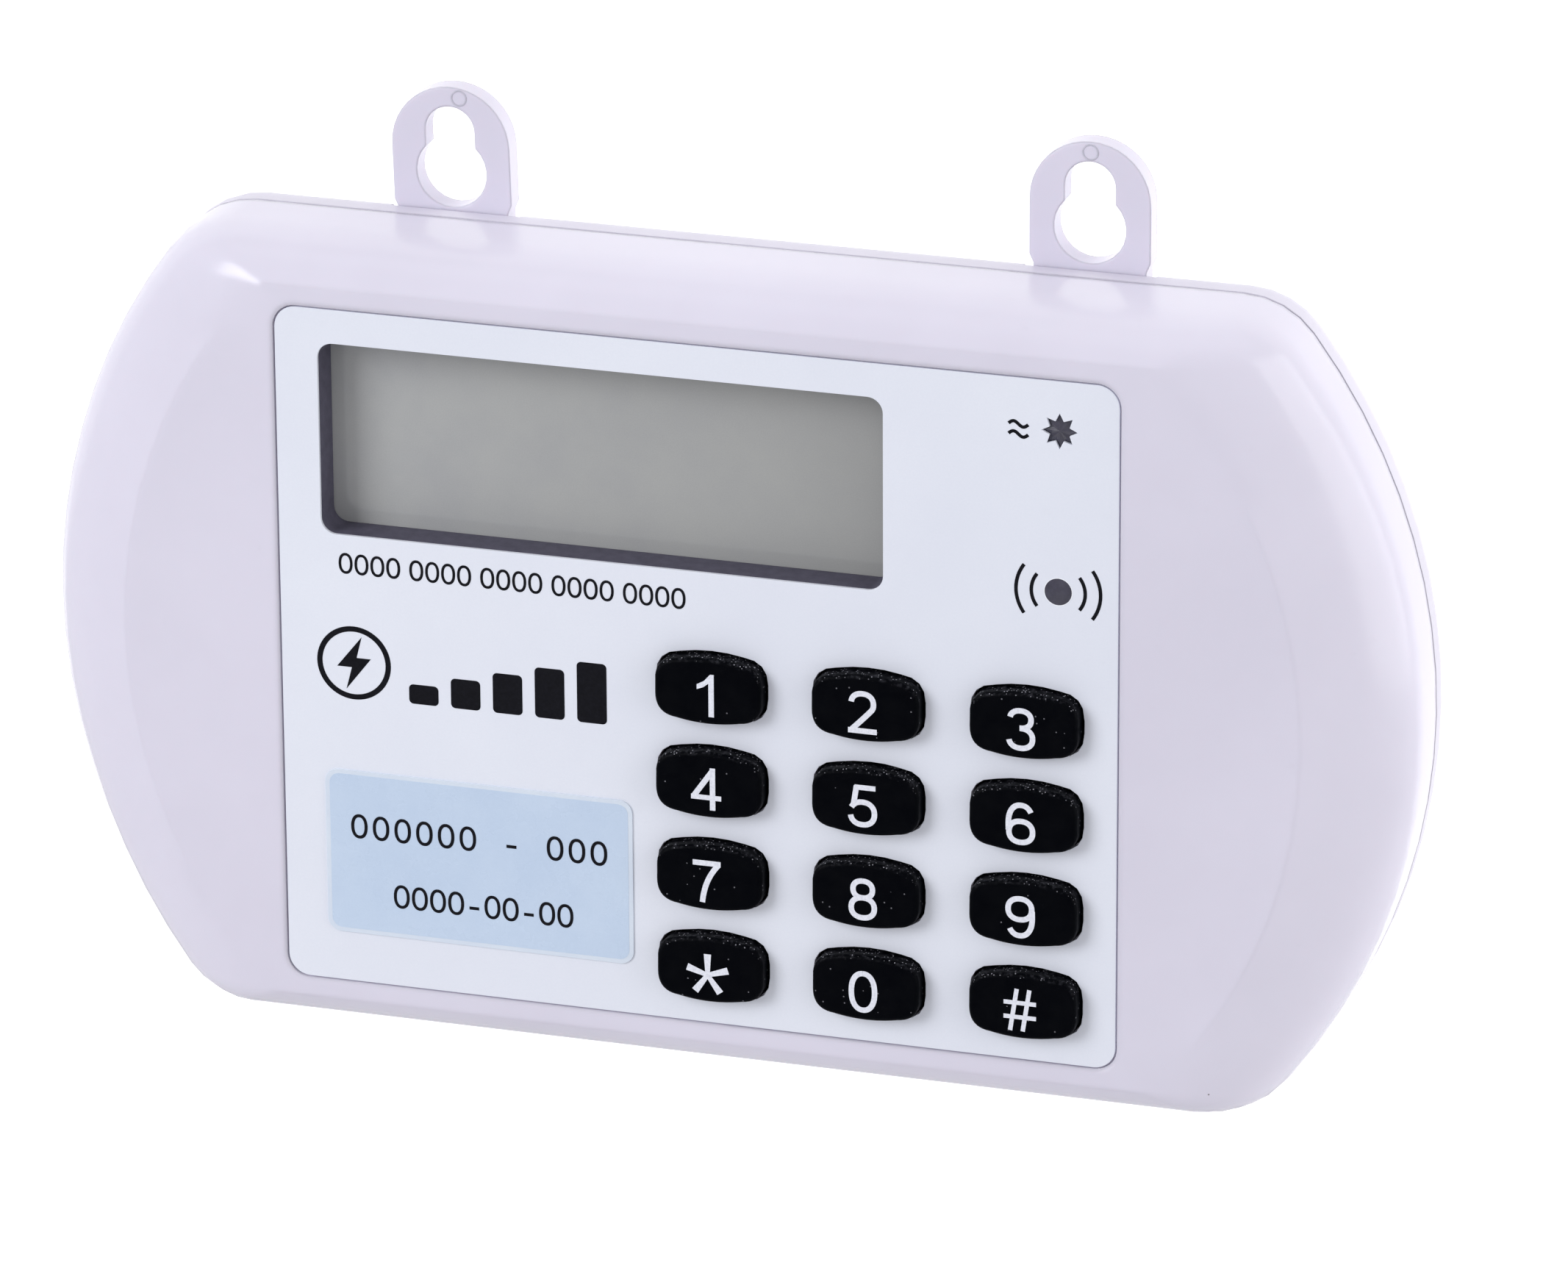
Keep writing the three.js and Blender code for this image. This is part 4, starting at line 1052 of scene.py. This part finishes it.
def softbox(name, place, size, power, colour=(1, 1, 1)):
    """A rectangular light aimed at the meter; `power` is in watts."""
    data = bpy.data.lights.new(name, "AREA")
    data.shape = "RECTANGLE"
    data.size, data.size_y = size
    data.energy = power
    data.color = colour
    lamp = bpy.data.objects.new(name, data)
    bpy.context.scene.collection.objects.link(lamp)
    lamp.location = place
    lamp.rotation_euler = (-Vector(place)).to_track_quat("-Z", "Y").to_euler()


def sheet(name, corners, material):
    """A flat stage sheet: floor or backdrop."""
    mesh = bpy.data.meshes.new(name)
    mesh.from_pydata(corners, [], [(0, 1, 2, 3)])
    mesh.materials.append(material)
    made = bpy.data.objects.new(name, mesh)
    bpy.context.scene.collection.objects.link(made)


REACH = 6.0
FLOOR_Z = -0.9
BACKDROP_Y = 1.5
BACKDROP_TOP = 2.5
WORLD_COLOUR = (0.97, 0.97, 1.0, 1)
WORLD_STRENGTH = 0.545


def paper_stage():
    """A floor, and a backdrop that shows plain white behind the meter."""
    near, far, foot, top = -REACH, BACKDROP_Y, FLOOR_Z, BACKDROP_TOP
    floor = [(-REACH, near, foot), (REACH, near, foot), (REACH, far, foot), (-REACH, far, foot)]
    wall = [(-REACH, far, foot), (REACH, far, foot), (REACH, far, top), (-REACH, far, top)]
    sheet("floor", floor, stage_paper("floor_paper", 224, 0.0))
    sheet("backdrop", wall, stage_paper("backdrop_paper", 252, 0.52))


def sky_light():
    world = bpy.data.worlds.new("studio")
    world.use_nodes = True
    sky = world.node_tree.nodes["Background"]
    sky.inputs["Color"].default_value = WORLD_COLOUR
    sky.inputs["Strength"].default_value = WORLD_STRENGTH
    bpy.context.scene.world = world


def studio():
    paper_stage()
    sky_light()
    softbox("right_softbox", (1.4, -0.06, 0.3), (1.4, 1.4), 12)
    softbox("left_softbox", (-0.95, -0.95, 0.6), (0.7, 0.9), 12, (0.96, 0.97, 1))
    softbox("top_softbox", (0.1, 0.1, 1.3), (1.4, 1.0), 1.5)
    bpy.context.scene.view_settings.view_transform = "Standard"


# ---- the whole picture ----

finish_outside()
finish_display_and_keypad()
finish_board()
finish_screws_and_battery()
for key_name in LEGENDS:
    key_piece(key_name)
signal_arcs()
supply_waves()
token_row()
supply_pictogram()
label_print()
indicator_windows()
rating_print()
for lug in MARK_SHIFT:
    ejector_mark(lug)
studio()
camera()
